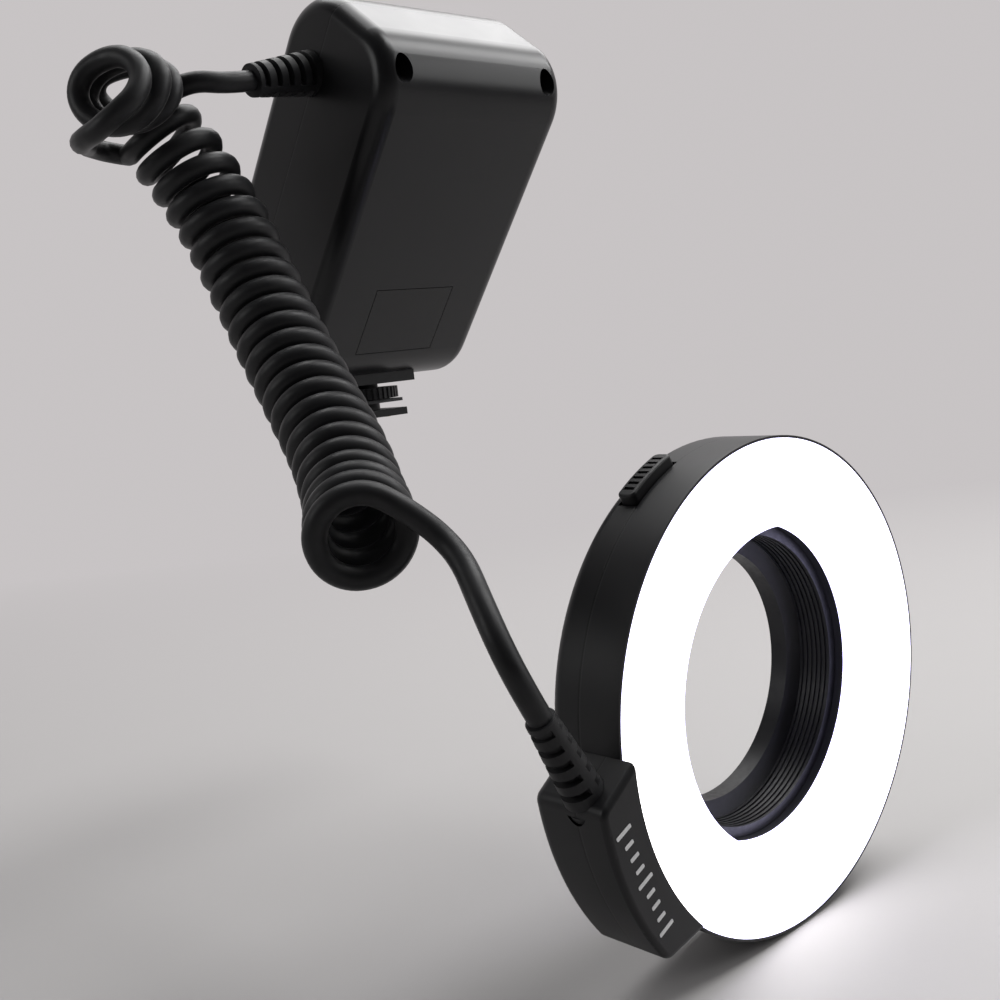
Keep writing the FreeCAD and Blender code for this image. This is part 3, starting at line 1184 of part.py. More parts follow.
# Turn, centre, axis and radius of a ring.
RING_ROWS = (
    (3.75, (-62.6, 95.9, 131.6), (0.54, -0.30, -0.79), 8.3),
    (4.78, (-61.1, 91.2, 125.7), (0.44, -0.34, -0.83), 8.25),
    (5.82, (-59.0, 88.5, 119.9), (0.32, -0.39, -0.86), 8.2),
    (7.9, (-56.1, 83.8, 109.1), (0.19, -0.455, -0.87), 8.15),
    (11.0, (-54.6, 76.1, 93.6), (0.04, -0.57, -0.82), 8.05),
    (14.0, (-55.9, 65.9, 80.3), (-0.08, -0.68, -0.73), 8.0),
    (17.0, (-58.4, 54.1, 68.3), (-0.20, -0.76, -0.62), 7.95),
    (20.0, (-62.4, 41.3, 58.0), (-0.30, -0.80, -0.52), 7.95),
    (23.1, (-69.4, 27.4, 49.2), (-0.42, -0.83, -0.36), 8.0),
    (25.3, (-76.5, 16.6, 45.0), (-0.50, -0.85, -0.18), 8.6),
)
RING_UP = Vector(0.16, 0.02, 0.99)
FIRST_RING = 3.5
LAST_RING = 26.1
# The wound tube ends in a straight stretch of one diameter.
STRAIGHT_END = 2 * size("cord_r")
# Middle points of the straight leads, set by hand.
CONTROLLER_LEAD = ((-60.2, 82.2, 141.1),)
HEAD_LEAD = (
    (-72.3, -13.4, 25.1),
    (-70.6, -7.3, 32.6),
    (-67.9, -0.9, 38.6),
)
LEAD_START = 7.0
LEAD_END = 6.0


def smooth_rows(values):
    """Curve through one value for each row, by turn."""
    curve = Part.BSplineCurve()
    curve.interpolate(Points=values, Parameters=[row[0] for row in RING_ROWS])
    return curve


ring_centre = smooth_rows([Vector(*row[1]) for row in RING_ROWS])
ring_axis = smooth_rows([Vector(*row[2]) for row in RING_ROWS])
ring_radius = smooth_rows([Vector(row[3], 0.1 * row[0], 0) for row in RING_ROWS])


def on_ring(turn):
    """Point of the coil at this turn."""
    axis = ring_axis.value(turn).normalize()
    up = (RING_UP - axis * axis.dot(RING_UP)).normalize()
    side = axis.cross(up)
    angle = -2 * math.pi * turn
    reach = up * math.cos(angle) + side * math.sin(angle)
    return ring_centre.value(turn) + reach * ring_radius.value(turn).x


def circle_heading(before, at, after):
    """Heading at the middle one of three points of a circle."""
    a = at - before
    b = after - at
    return (a * (b.Length / a.Length) + b * (a.Length / b.Length)).normalize()


def arc_along(start, along, end, bends):
    """Arc that leaves start along a heading and ends at end."""
    chord = end - start
    inward = chord - along * chord.dot(along)
    if inward.Length < 1e-4 * chord.Length:
        return Part.LineSegment(start, end)
    radius = chord.Length ** 2 / (2 * inward.Length)
    centre = start + inward.normalize() * radius
    out = (start - centre) + (end - centre)
    bends.append(radius)
    return Part.Arc(start, centre + out.normalize() * radius, end)


def biarc(p0, t0, p1, t1, bends):
    """Two arcs, tangent to each other, between two points with headings."""
    gap = p1 - p0
    both = t0 + t1
    spread = 2 * (1 - t0.dot(t1))
    if spread < 1e-6:
        reach = gap.Length / 2
    else:
        reach = (math.sqrt(gap.dot(both) ** 2 + spread * gap.dot(gap)) - gap.dot(both)) / spread
    middle = (p0 + p1 + (t0 - t1) * reach) * 0.5
    turned = (p1 - t1 * reach - middle).normalize()
    return [arc_along(p0, t0, middle, bends), arc_along(middle, turned, p1, bends)]


def lead_path(points, bends):
    """Straight runs joined by tangent arcs, each as large as its two runs allow."""
    path = []
    last = points[0]
    for before, at, after in zip(points, points[1:], points[2:]):
        come = (at - before).normalize()
        go = (after - at).normalize()
        reach = 0.45 * min((at - before).Length, (after - at).Length)
        start = at - come * reach
        end = at + go * reach
        path.append(Part.LineSegment(last, start))
        path.append(arc_along(start, come, end, bends))
        last = end
    path.append(Part.LineSegment(last, points[-1]))
    return path


def tube(label, path, start, heading):
    """Cord along a path, with its volume held against section times length."""
    wire = Part.Wire([piece.toShape() for piece in path])
    profile = Part.Wire([Part.makeCircle(size("cord_r"), start, heading)])
    solid = wire.makePipeShell([profile], True, False)
    wanted = wire.Length * math.pi * size("cord_r") ** 2
    print("%s: length %.1f mm, volume %.1f of %.1f mm3" % (label, wire.Length, solid.Volume, wanted))
    thing = doc.addObject("Part::Feature", label)
    thing.Shape = solid
    nodes[label] = thing


def points_along(path, step):
    """Points of a path with their distances along it."""
    found = []
    run = 0.0
    for piece in path:
        length = piece.length()
        count = max(1, int(length / step))
        for i in range(count):
            along = length * i / count
            found.append((run + along, piece.value(piece.parameterAtDistance(along))))
        run += length
    return found


def least_gap(one, other, apart):
    """Least gap between points of two paths that are this far apart along the cord."""
    least = 99.0
    for run_a, a in one:
        for run_b, b in other:
            if run_b - run_a > apart:
                least = min(least, a.distanceToPoint(b))
    return least - 2 * size("cord_r")


fold = [Vector(*p) for p in COIL_FOLD]
ring_count = int((LAST_RING - FIRST_RING) * 4)
turns = [FIRST_RING + 0.25 * i for i in range(ring_count + 1)] + [LAST_RING]
course = fold + [on_ring(turn) for turn in turns]
headings = [FOLD_HEADING]
headings += [circle_heading(*course[i - 1:i + 2]) for i in range(1, len(fold))]
headings += [(on_ring(turn + 0.01) - on_ring(turn - 0.01)).normalize() for turn in turns]
coil_start = course[0] - headings[0] * STRAIGHT_END
coil_end = course[-1] + headings[-1] * STRAIGHT_END
coil_bends = []
coil_path = [Part.LineSegment(coil_start, course[0])]
for p0, t0, p1, t1 in zip(course, headings, course[1:], headings[1:]):
    coil_path += biarc(p0, t0, p1, t1, coil_bends)
coil_path.append(Part.LineSegment(course[-1], coil_end))
tube("coil_cord", coil_path, coil_start, headings[0])

tip_b = relief_b.Placement.multVec(Vector(0, 0, size("relief_b_len")))
way_b = relief_b.Placement.Rotation.multVec(Vector(0, 0, 1))
controller_points = [tip_b, tip_b + way_b * LEAD_START]
controller_points += [Vector(*p) for p in CONTROLLER_LEAD]
controller_points += [coil_start]
tip_a = relief_a.Placement.multVec(Vector(0, 0, size("relief_a_len")))
way_a = relief_a.Placement.Rotation.multVec(Vector(0, 0, 1))
head_points = [tip_a, tip_a + way_a * LEAD_START]
head_points += [Vector(*p) for p in HEAD_LEAD]
head_points += [coil_end + headings[-1] * LEAD_END, coil_end]
controller_bends = []
head_bends = []
controller_path = lead_path(controller_points, controller_bends)
head_path = lead_path(head_points, head_bends)
tube("cord_controller_lead", controller_path, tip_b, way_b)
tube("cord_head_lead", head_path, tip_a, way_a)
coil_marks = points_along(coil_path, 1.0)
print("coil: %.1f turns, least gap to itself %.2f mm, tightest bend %.1f mm" % (
    LAST_RING + 0.5, least_gap(coil_marks, coil_marks, 12.0), min(coil_bends)))
LEADS = (
    ("controller", controller_path, controller_bends),
    ("head", head_path, head_bends),
)
for label, path, bends in LEADS:
    marks = [(-99.0, point) for run, point in points_along(path, 1.0)]
    print("%s lead: bends %s mm, least gap to the coil %.2f mm" % (
        label, ", ".join("%.1f" % bend for bend in bends), least_gap(marks, coil_marks[8:-8], 0.0)))

# Check and write

doc.recompute()
faults = []
for thing in doc.Objects:
    if "Invalid" in thing.State or "Error" in thing.State:
        faults.append("%s: %s" % (thing.Label, thing.State))
for label, thing in nodes.items():
    shape = thing.Shape
    if shape.isNull() or not shape.isValid() or not shape.Solids:
        faults.append("%s: no valid solid" % label)
if faults:
    raise RuntimeError("; ".join(faults))
os.makedirs("parts", exist_ok=True)
for label, thing in nodes.items():
    thing.Shape.exportStep("parts/%s.step" % label)
print("%d nodes written" % len(nodes))
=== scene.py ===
import json
import math

import bpy
from bpy.props import FloatProperty, FloatVectorProperty, IntProperty, PointerProperty
from bpy.types import Operator, Panel, PropertyGroup
from mathutils import Matrix, Vector
from mathutils.geometry import interpolate_bezier


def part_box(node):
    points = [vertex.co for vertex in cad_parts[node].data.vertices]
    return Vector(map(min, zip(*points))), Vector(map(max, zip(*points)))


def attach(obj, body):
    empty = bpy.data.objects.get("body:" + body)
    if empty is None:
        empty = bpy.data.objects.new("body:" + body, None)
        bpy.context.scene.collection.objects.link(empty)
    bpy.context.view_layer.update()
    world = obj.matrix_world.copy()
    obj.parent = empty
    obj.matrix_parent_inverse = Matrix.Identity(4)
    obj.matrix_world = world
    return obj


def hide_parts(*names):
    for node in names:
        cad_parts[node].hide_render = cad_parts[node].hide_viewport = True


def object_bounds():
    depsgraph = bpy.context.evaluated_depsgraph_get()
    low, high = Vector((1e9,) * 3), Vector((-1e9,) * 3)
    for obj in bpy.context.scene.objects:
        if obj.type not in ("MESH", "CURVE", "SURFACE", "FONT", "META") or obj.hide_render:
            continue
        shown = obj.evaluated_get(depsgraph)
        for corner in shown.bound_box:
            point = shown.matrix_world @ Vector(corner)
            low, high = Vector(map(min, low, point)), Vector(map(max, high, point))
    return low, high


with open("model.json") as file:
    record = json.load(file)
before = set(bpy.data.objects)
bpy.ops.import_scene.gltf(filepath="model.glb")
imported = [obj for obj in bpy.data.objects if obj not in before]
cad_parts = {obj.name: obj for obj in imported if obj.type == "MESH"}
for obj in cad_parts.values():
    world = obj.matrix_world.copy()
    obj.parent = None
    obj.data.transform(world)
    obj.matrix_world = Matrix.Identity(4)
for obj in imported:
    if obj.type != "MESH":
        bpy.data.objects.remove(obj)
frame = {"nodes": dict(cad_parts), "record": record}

bl_info = {
    "name": "Macro Ring Light",
    "version": (1, 0, 0),
    "blender": (4, 5, 0),
    "location": "View3D > Sidebar > Ring Light",
    "description": "Finishes, coiled cord, screws and marks of a macro ring light",
    "category": "Object",
}

MM = 0.001
CAD_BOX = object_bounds()
NODES = frame["nodes"]
SLOT_OF = {part["node"]: part["material_slot"] for part in frame["record"]["subparts"]}
MATERIALS = {}

# The controller leans forward; this is where its own origin lies and how it is turned.
LEAN = math.radians(39.0)
CONTROLLER = Matrix.Translation(Vector((0.0, 76.23, 106.544)) * MM) @ Matrix.Rotation(LEAN, 4, "X")
CASE_SEAM = 26.5 * MM
HEAD_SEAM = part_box("head_front_shell")[1][1]
POD_SEAM = -16.0 * MM

# Radii between which the diffuser's light turns violet, and where a cell's brass end starts.
OUTER_RIM = (50.6 * MM, 51.6 * MM)
INNER_RIM = (33.5 * MM, 34.3 * MM)
RIM_VIOLET = (0.62, 0.6, 0.95)
BRASS_FROM = 12.0 * MM

# Seams: half of the dark line, and of the pale line beside it, which is a painted highlight.
SEAM_HALF = 0.2 * MM
PAINTED_HIGHLIGHT_HALF = 0.12 * MM
PAINTED_HIGHLIGHT_OFFSET = 0.36 * MM

# The pod sits on the ring's edge; this turns what lies above the middle to its place.
POD_ANGLE = math.radians(202.5)
POD_TURN = Matrix.Rotation(-(POD_ANGLE - math.radians(90.0)), 4, "Y")

# Route of the cord, in millimetres. The leads and the fold are given points.
CONTROLLER_LEAD = (
    (-46.5, 80.3, 141.6),
    (-53.3, 79.8, 140.4),
    (-60.2, 82.2, 141.1),
    (-63.7, 88.4, 139.6),
)
# The first turns are folded back on each other, with about one point for each quarter turn.
COIL_FOLD = (
    (-65.9, 92.4, 138.6),
    (-68.2, 97.6, 136.2),
    (-75.2, 99.4, 141.2),
    (-69.0, 90.0, 145.4),
    (-67.3, 79.9, 137.6),
    (-73.6, 86.1, 132.0),
    (-79.4, 94.9, 138.7),
    (-73.4, 85.4, 145.3),
    (-71.9, 75.8, 138.9),
    (-79.1, 83.5, 130.6),
    (-83.4, 91.0, 138.8),
    (-78.4, 82.2, 144.7),
    (-77.7, 73.6, 138.0),
    (-85.3, 76.2, 129.6),
    (-86.5, 84.9, 127.7),
    (-81.3, 95.4, 129.0),
    (-76.6, 101.8, 129.6),
    (-71.8, 102.9, 128.9),
)
# Turn, centre, axis and radius of a ring of the coil.
RING_ROWS = (
    (3.75, (-62.6, 95.9, 131.6), (0.54, -0.30, -0.79), 8.3),
    (4.78, (-61.1, 91.2, 125.7), (0.44, -0.34, -0.83), 8.25),
    (5.82, (-59.0, 88.5, 119.9), (0.32, -0.39, -0.86), 8.2),
    (7.9, (-56.1, 83.8, 109.1), (0.19, -0.455, -0.87), 8.15),
    (11.0, (-54.6, 76.1, 93.6), (0.04, -0.57, -0.82), 8.05),
    (14.0, (-55.9, 65.9, 80.3), (-0.08, -0.68, -0.73), 8.0),
    (17.0, (-58.4, 54.1, 68.3), (-0.20, -0.76, -0.62), 7.95),
    (20.0, (-62.4, 41.3, 58.0), (-0.30, -0.80, -0.52), 7.95),
    (23.1, (-69.4, 27.4, 49.2), (-0.42, -0.83, -0.36), 8.0),
    (25.3, (-76.5, 16.6, 45.0), (-0.50, -0.85, -0.18), 8.6),
)
RING_UP = Vector((0.16, 0.02, 0.99))
FIRST_RING = 3.5
LAST_RING = 26.1
POINTS_PER_TURN = 12
# Handle of a leg of the fold, and how far a control point moves outwards, both as shares.
FOLD_REACH = 0.37
OUTWARD = 0.26
HEAD_LEAD = (
    (-71.8, 6.7, 47.3),
    (-68.3, 4.2, 43.2),
    (-67.9, -0.9, 38.6),
    (-70.6, -7.3, 32.6),
    (-72.3, -13.4, 25.1),
    (-70.7, -16.0, 17.8),
    (-67.3, -16.0, 11.6),
)

# Camera: place and the three axes of its frame, solved from the photograph.
CAMERA_PLACE = Vector((-205.516, -163.059, 74.741)) * MM
CAMERA_RIGHT = Vector((0.72619, -0.67968, -0.1034))
CAMERA_UP = Vector((0.15826, 0.01891, 0.98722))
CAMERA_BACK = Vector((-0.66903, -0.73327, 0.1213))
SENSOR_WIDTH = 36.0
NEAREST_SEEN = 0.01
LOOKS_ALONG = Vector((-CAMERA_BACK.x, -CAMERA_BACK.y, 0.0)).normalized()


class RingLightColours(PropertyGroup):
    case: FloatVectorProperty(
        name="Case", description="Moulded black of the head and the controller", subtype="COLOR",
        size=3, min=0.0, max=1.0, default=(0.009, 0.009, 0.01))
    cord: FloatVectorProperty(
        name="Cord", description="Black jacket of the coiled cord", subtype="COLOR",
        size=3, min=0.0, max=1.0, default=(0.009, 0.009, 0.01))
    glow: FloatVectorProperty(
        name="Glow", description="Light of the diffuser", subtype="COLOR",
        size=3, min=0.0, max=1.0, default=(1.0, 0.985, 1.0))
    glow_strength: FloatProperty(
        name="Glow strength", description="Strength of the diffuser's light", min=0.0, default=3.0)
    marks: FloatVectorProperty(
        name="Marks", description="Pale print on keys and pod", subtype="COLOR",
        size=3, min=0.0, max=1.0, default=(0.72, 0.72, 0.72))
    board: FloatVectorProperty(
        name="Boards", description="Green of the circuit boards", subtype="COLOR",
        size=3, min=0.0, max=1.0, default=(0.02, 0.14, 0.05))


class RingLightSizes(PropertyGroup):
    cord_diameter: FloatProperty(
        name="Cord", description="Diameter of the cord", unit="LENGTH", min=0.001, default=4.7 * MM)
    cord_length: FloatProperty(
        name="Cord length", description="Real length of the cord with its turns", unit="LENGTH",
        min=0.1, default=1.425)
    mark_height: FloatProperty(
        name="Mark height", description="How far a printed mark stands out", unit="LENGTH",
        min=0.0, default=0.08 * MM)
    tick_count: IntProperty(
        name="Pod ticks", description="Plain ticks on the pod", min=1, default=9)


class RingLightStage(PropertyGroup):
    floor: FloatVectorProperty(
        name="Floor", description="Colour of the floor", subtype="COLOR",
        size=3, min=0.0, max=1.0, default=(0.42, 0.407, 0.403))
    wall: FloatVectorProperty(
        name="Background", description="Colour behind the object", subtype="COLOR",
        size=3, min=0.0, max=1.0, default=(0.575, 0.55, 0.555))
    lens: FloatProperty(
        name="Lens", description="Focal length of the camera in millimetres", min=1.0, default=43.62)
    key_power: FloatProperty(
        name="Top lamps", description="Radiance of the two wide lamps above", min=0.0, default=8.0)
    fill_power: FloatProperty(
        name="Front lamp", description="Radiance of the lamp in front", min=0.0, default=2.7)
    side_power: FloatProperty(
        name="Side lamp", description="Radiance of the lamp at the side", min=0.0, default=2.4)


def colours():
    return bpy.context.scene.ring_light_colours


def sizes():
    return bpy.context.scene.ring_light_sizes


def clear_selection():
    if bpy.context.object and bpy.context.object.mode != "OBJECT":
        bpy.ops.object.mode_set(mode="OBJECT")
    bpy.ops.object.select_all(action="DESELECT")


def take_new(name):
    """The object that the last operator added, under its own name."""
    thing = bpy.context.object
    thing.name = name
    thing.data.name = name
    return thing


def settle(thing):
    """Put an object's place into its mesh."""
    clear_selection()
    thing.select_set(True)
    bpy.context.view_layer.objects.active = thing
    bpy.ops.object.transform_apply(location=True, rotation=True, scale=True)


def join(things, name):
    clear_selection()
    for thing in things:
        thing.select_set(True)
    bpy.context.view_layer.objects.active = things[0]
    if len(things) > 1:
        bpy.ops.object.join()
    return take_new(name)


# Materials


def fresh(name):
    """Empty material with its tree and its main shader."""
    material = bpy.data.materials.new(name)
    material.use_nodes = True
    tree = material.node_tree
    return material, tree, tree.nodes["Principled BSDF"]


def place_on_object(tree, frame_matrix=None):
    """Object coordinates, in another frame where one is given."""
    coordinate = tree.nodes.new("ShaderNodeTexCoord")
    if frame_matrix is None:
        return coordinate.outputs["Object"]
    mapping = tree.nodes.new("ShaderNodeMapping")
    mapping.vector_type = "TEXTURE"
    mapping.inputs["Location"].default_value = frame_matrix.translation
    mapping.inputs["Rotation"].default_value = frame_matrix.to_euler()
    tree.links.new(coordinate.outputs["Object"], mapping.inputs["Vector"])
    return mapping.outputs["Vector"]


def cloud(tree, place, scale, detail=3.0):
    noise = tree.nodes.new("ShaderNodeTexNoise")
    noise.inputs["Scale"].default_value = scale
    noise.inputs["Detail"].default_value = detail
    tree.links.new(place, noise.inputs["Vector"])
    return noise.outputs["Fac"]


def spread(tree, value, low, high, from_low=0.3, from_high=0.7):
    """A value's middle range stretched between two others."""
    stretch = tree.nodes.new("ShaderNodeMapRange")
    stretch.inputs["From Min"].default_value = from_low
    stretch.inputs["From Max"].default_value = from_high
    stretch.inputs["To Min"].default_value = low
    stretch.inputs["To Max"].default_value = high
    tree.links.new(value, stretch.inputs["Value"])
    return stretch.outputs["Result"]


def blend_colours(tree, share, one, other):
    """Two colours mixed by a share; either may be a socket."""
    mix = tree.nodes.new("ShaderNodeMix")
    mix.data_type = "RGBA"
    tree.links.new(share, mix.inputs["Factor"])
    for socket, colour in (("A", one), ("B", other)):
        target = [i for i in mix.inputs if i.name == socket and i.type == "RGBA"][0]
        if isinstance(colour, bpy.types.NodeSocket):
            tree.links.new(colour, target)
        else:
            target.default_value = (*colour, 1.0)
    return [o for o in mix.outputs if o.type == "RGBA"][0]


def calculate(tree, operation, one, other, third=None):
    step = tree.nodes.new("ShaderNodeMath")
    step.operation = operation
    for socket, value in zip(step.inputs, (one, other, third)):
        if isinstance(value, bpy.types.NodeSocket):
            tree.links.new(value, socket)
        elif value is not None:
            socket.default_value = value
    return step.outputs["Value"]


def raise_by(tree, shader, height, distance, strength=1.0, before=None):
    """Bump of a height, on top of another bump where one is given."""
    bump = tree.nodes.new("ShaderNodeBump")
    bump.inputs["Strength"].default_value = strength
    bump.inputs["Distance"].default_value = distance
    tree.links.new(height, bump.inputs["Height"])
    if before is not None:
        tree.links.new(before, bump.inputs["Normal"])
    tree.links.new(bump.outputs["Normal"], shader.inputs["Normal"])
    return bump.outputs["Normal"]


def axis_of(tree, place, letter):
    parts = tree.nodes.new("ShaderNodeSeparateXYZ")
    tree.links.new(place, parts.inputs["Vector"])
    return parts.outputs[letter]


def roughen(tree, shader, place, scale, detail, low, high, from_low=0.3, from_high=0.7):
    """Roughness that drifts between two values, in patches of a scale."""
    rough = spread(tree, cloud(tree, place, scale, detail), low, high, from_low, from_high)
    tree.links.new(rough, shader.inputs["Roughness"])


def shade(colour, factor):
    return tuple(min(1.0, part * factor) for part in colour)


def moulded(name, colour, roughness, depth=0.012 * MM, seam=None, seam_frame=None):
    """Moulded plastic: fine spark grain, handled patches and, where given, a parting line with a painted
    highlight beside it.
    """
    material, tree, shader = fresh(name)
    place = place_on_object(tree)
    patches = cloud(tree, place, 45.0, 4.0)
    share = spread(tree, patches, 0.0, 1.0, 0.1, 0.9)
    hue = blend_colours(tree, share, shade(colour, 0.8), shade(colour, 1.25))
    roughen(tree, shader, place, 90.0, 5.0, roughness - 0.03, roughness + 0.03, 0.1, 0.9)
    shader.inputs["Specular IOR Level"].default_value = 0.3
    normal = raise_by(tree, shader, cloud(tree, place, 2600.0, 2.0), depth, 0.35)
    if seam is not None:
        across = axis_of(tree, place_on_object(tree, seam_frame), "Y")
        line = calculate(tree, "COMPARE", across, seam, SEAM_HALF)
        # Painted highlight: a pale line beside the seam that stands in for light caught on the seam's edge.
        painted_highlight = calculate(tree, "COMPARE", across, seam - PAINTED_HIGHLIGHT_OFFSET, PAINTED_HIGHLIGHT_HALF)
        hue = blend_colours(tree, painted_highlight, hue, shade(colour, 2.2))
        hue = blend_colours(tree, line, hue, shade(colour, 0.15))
        raise_by(tree, shader, calculate(tree, "SUBTRACT", 1.0, line), 0.15 * MM, 0.8, normal)
    tree.links.new(hue, shader.inputs["Base Color"])
    return material


def rubber(name, colour, roughness):
    """Soft rubber: dull, with a dusty sheen."""
    material, tree, shader = fresh(name)
    place = place_on_object(tree)
    dust = cloud(tree, place, 140.0, 6.0)
    hue = blend_colours(tree, spread(tree, dust, 0.0, 1.0), shade(colour, 0.85), shade(colour, 1.4))
    tree.links.new(hue, shader.inputs["Base Color"])
    roughen(tree, shader, place, 300.0, 4.0, roughness - 0.06, roughness + 0.08)
    shader.inputs["Specular IOR Level"].default_value = 0.3
    shader.inputs["Sheen Weight"].default_value = 0.03
    shader.inputs["Sheen Roughness"].default_value = 0.4
    raise_by(tree, shader, cloud(tree, place, 1900.0, 3.0), 0.02 * MM, 0.3)
    return material


def metal(name, colour, roughness):
    """Metal with a little tarnish and fine grain."""
    material, tree, shader = fresh(name)
    place = place_on_object(tree)
    shader.inputs["Metallic"].default_value = 1.0
    tarnish = cloud(tree, place, 220.0, 5.0)
    hue = blend_colours(tree, spread(tree, tarnish, 0.0, 1.0), shade(colour, 0.82), shade(colour, 1.08))
    tree.links.new(hue, shader.inputs["Base Color"])
    roughen(tree, shader, place, 700.0, 6.0, roughness - 0.08, roughness + 0.1)
    raise_by(tree, shader, cloud(tree, place, 2600.0, 3.0), 0.01 * MM, 0.3)
    return material


def anodised(name, colour):
    """Black anodised aluminium of the lens adapter."""
    material, tree, shader = fresh(name)
    place = place_on_object(tree)
    bloom = cloud(tree, place, 120.0, 5.0)
    hue = blend_colours(tree, spread(tree, bloom, 0.0, 1.0), shade(colour, 0.8), shade(colour, 1.3))
    tree.links.new(hue, shader.inputs["Base Color"])
    shader.inputs["Metallic"].default_value = 0.35
    roughen(tree, shader, place, 900.0, 4.0, 0.34, 0.5)
    raise_by(tree, shader, cloud(tree, place, 3000.0, 2.0), 0.01 * MM, 0.25)
    return material


def circuit_board(name, colour):
    """Green lacquer over fine copper tracks."""
    material, tree, shader = fresh(name)
    place = place_on_object(tree)
    tracks = tree.nodes.new("ShaderNodeTexBrick")
    tracks.inputs["Scale"].default_value = 260.0
    tracks.inputs["Mortar Size"].default_value = 0.06
    tracks.inputs["Color1"].default_value = (*colour, 1.0)
    tracks.inputs["Color2"].default_value = (*shade(colour, 1.3), 1.0)
    tracks.inputs["Mortar"].default_value = (*shade(colour, 2.2), 1.0)
    mapping = tree.nodes.new("ShaderNodeMapping")
    mapping.inputs["Rotation"].default_value = (math.radians(90.0), 0.0, 0.0)
    tree.links.new(place, mapping.inputs["Vector"])
    tree.links.new(mapping.outputs["Vector"], tracks.inputs["Vector"])
    tree.links.new(tracks.outputs["Color"], shader.inputs["Base Color"])
    roughen(tree, shader, place, 400.0, 3.0, 0.25, 0.4)
    raise_by(tree, shader, tracks.outputs["Fac"], 0.03 * MM, 0.5)
    return material


def lit_diffuser(name, colour, strength):
    """Translucent white that shines, a little violet where it runs out at its two rims."""
    material, tree, shader = fresh(name)
    place = place_on_object(tree)
    across = calculate(tree, "POWER", axis_of(tree, place, "X"), 2.0)
    upward = calculate(tree, "POWER", axis_of(tree, place, "Z"), 2.0)
    radius = calculate(tree, "SQRT", calculate(tree, "ADD", across, upward), 0.0)
    outer = spread(tree, radius, 0.0, 1.0, *OUTER_RIM)
    inner = spread(tree, radius, 1.0, 0.0, *INNER_RIM)
    rim = calculate(tree, "MAXIMUM", outer, inner)
    grain = spread(tree, cloud(tree, place, 500.0, 4.0), 0.97, 1.0)
    hue = blend_colours(tree, rim, colour, RIM_VIOLET)
    tree.links.new(hue, shader.inputs["Emission Color"])
    tree.links.new(calculate(tree, "MULTIPLY", grain, strength), shader.inputs["Emission Strength"])
    shader.inputs["Base Color"].default_value = (0.9, 0.9, 0.9, 1.0)
    shader.inputs["Roughness"].default_value = 0.35
    return material


def clear_window(name, colour):
    material, tree, shader = fresh(name)
    place = place_on_object(tree)
    shader.inputs["Base Color"].default_value = (*colour, 1.0)
    shader.inputs["Transmission Weight"].default_value = 0.85
    shader.inputs["IOR"].default_value = 1.49
    roughen(tree, shader, place, 60.0, 4.0, 0.03, 0.09)
    return material


def display_film(name, colour):
    """Grey-green display with its fine grid of cells."""
    material, tree, shader = fresh(name)
    grid = tree.nodes.new("ShaderNodeTexBrick")
    grid.offset = 0.0
    grid.inputs["Scale"].default_value = 900.0
    grid.inputs["Mortar Size"].default_value = 0.03
    grid.inputs["Color1"].default_value = (*colour, 1.0)
    grid.inputs["Color2"].default_value = (*shade(colour, 0.97), 1.0)
    grid.inputs["Mortar"].default_value = (*shade(colour, 0.8), 1.0)
    place = place_on_object(tree, CONTROLLER @ Matrix.Rotation(math.radians(90.0), 4, "X"))
    tree.links.new(place, grid.inputs["Vector"])
    tree.links.new(grid.outputs["Color"], shader.inputs["Base Color"])
    roughen(tree, shader, place, 80.0, 3.0, 0.22, 0.34)
    return material


def light_chip(name):
    """Yellow phosphor of the lamps behind the diffuser."""
    material, tree, shader = fresh(name)
    place = place_on_object(tree)
    phosphor = spread(tree, cloud(tree, place, 800.0, 3.0), 0.0, 1.0)
    hue = blend_colours(tree, phosphor, (0.85, 0.72, 0.3), (0.95, 0.86, 0.5))
    tree.links.new(hue, shader.inputs["Base Color"])
    tree.links.new(hue, shader.inputs["Emission Color"])
    shader.inputs["Emission Strength"].default_value = 1.0
    shader.inputs["Roughness"].default_value = 0.3
    return material


def battery_wrap(name):
    """Printed foil of a cell: dark body with a brass-coloured end, without any words."""
    material, tree, shader = fresh(name)
    place = place_on_object(tree)
    end = calculate(tree, "GREATER_THAN", axis_of(tree, place, "X"), BRASS_FROM)
    hue = blend_colours(tree, end, (0.03, 0.03, 0.035), (0.62, 0.42, 0.16))
    tree.links.new(hue, shader.inputs["Base Color"])
    shader.inputs["Metallic"].default_value = 0.6
    roughen(tree, shader, place, 200.0, 3.0, 0.22, 0.36)
    return material


def printed(name, colour):
    material, tree, shader = fresh(name)
    place = place_on_object(tree)
    ink = spread(tree, cloud(tree, place, 1500.0, 4.0), 0.0, 1.0)
    hue = blend_colours(tree, ink, shade(colour, 0.9), colour)
    tree.links.new(hue, shader.inputs["Base Color"])
    roughen(tree, shader, place, 900.0, 3.0, 0.5, 0.65)
    return material


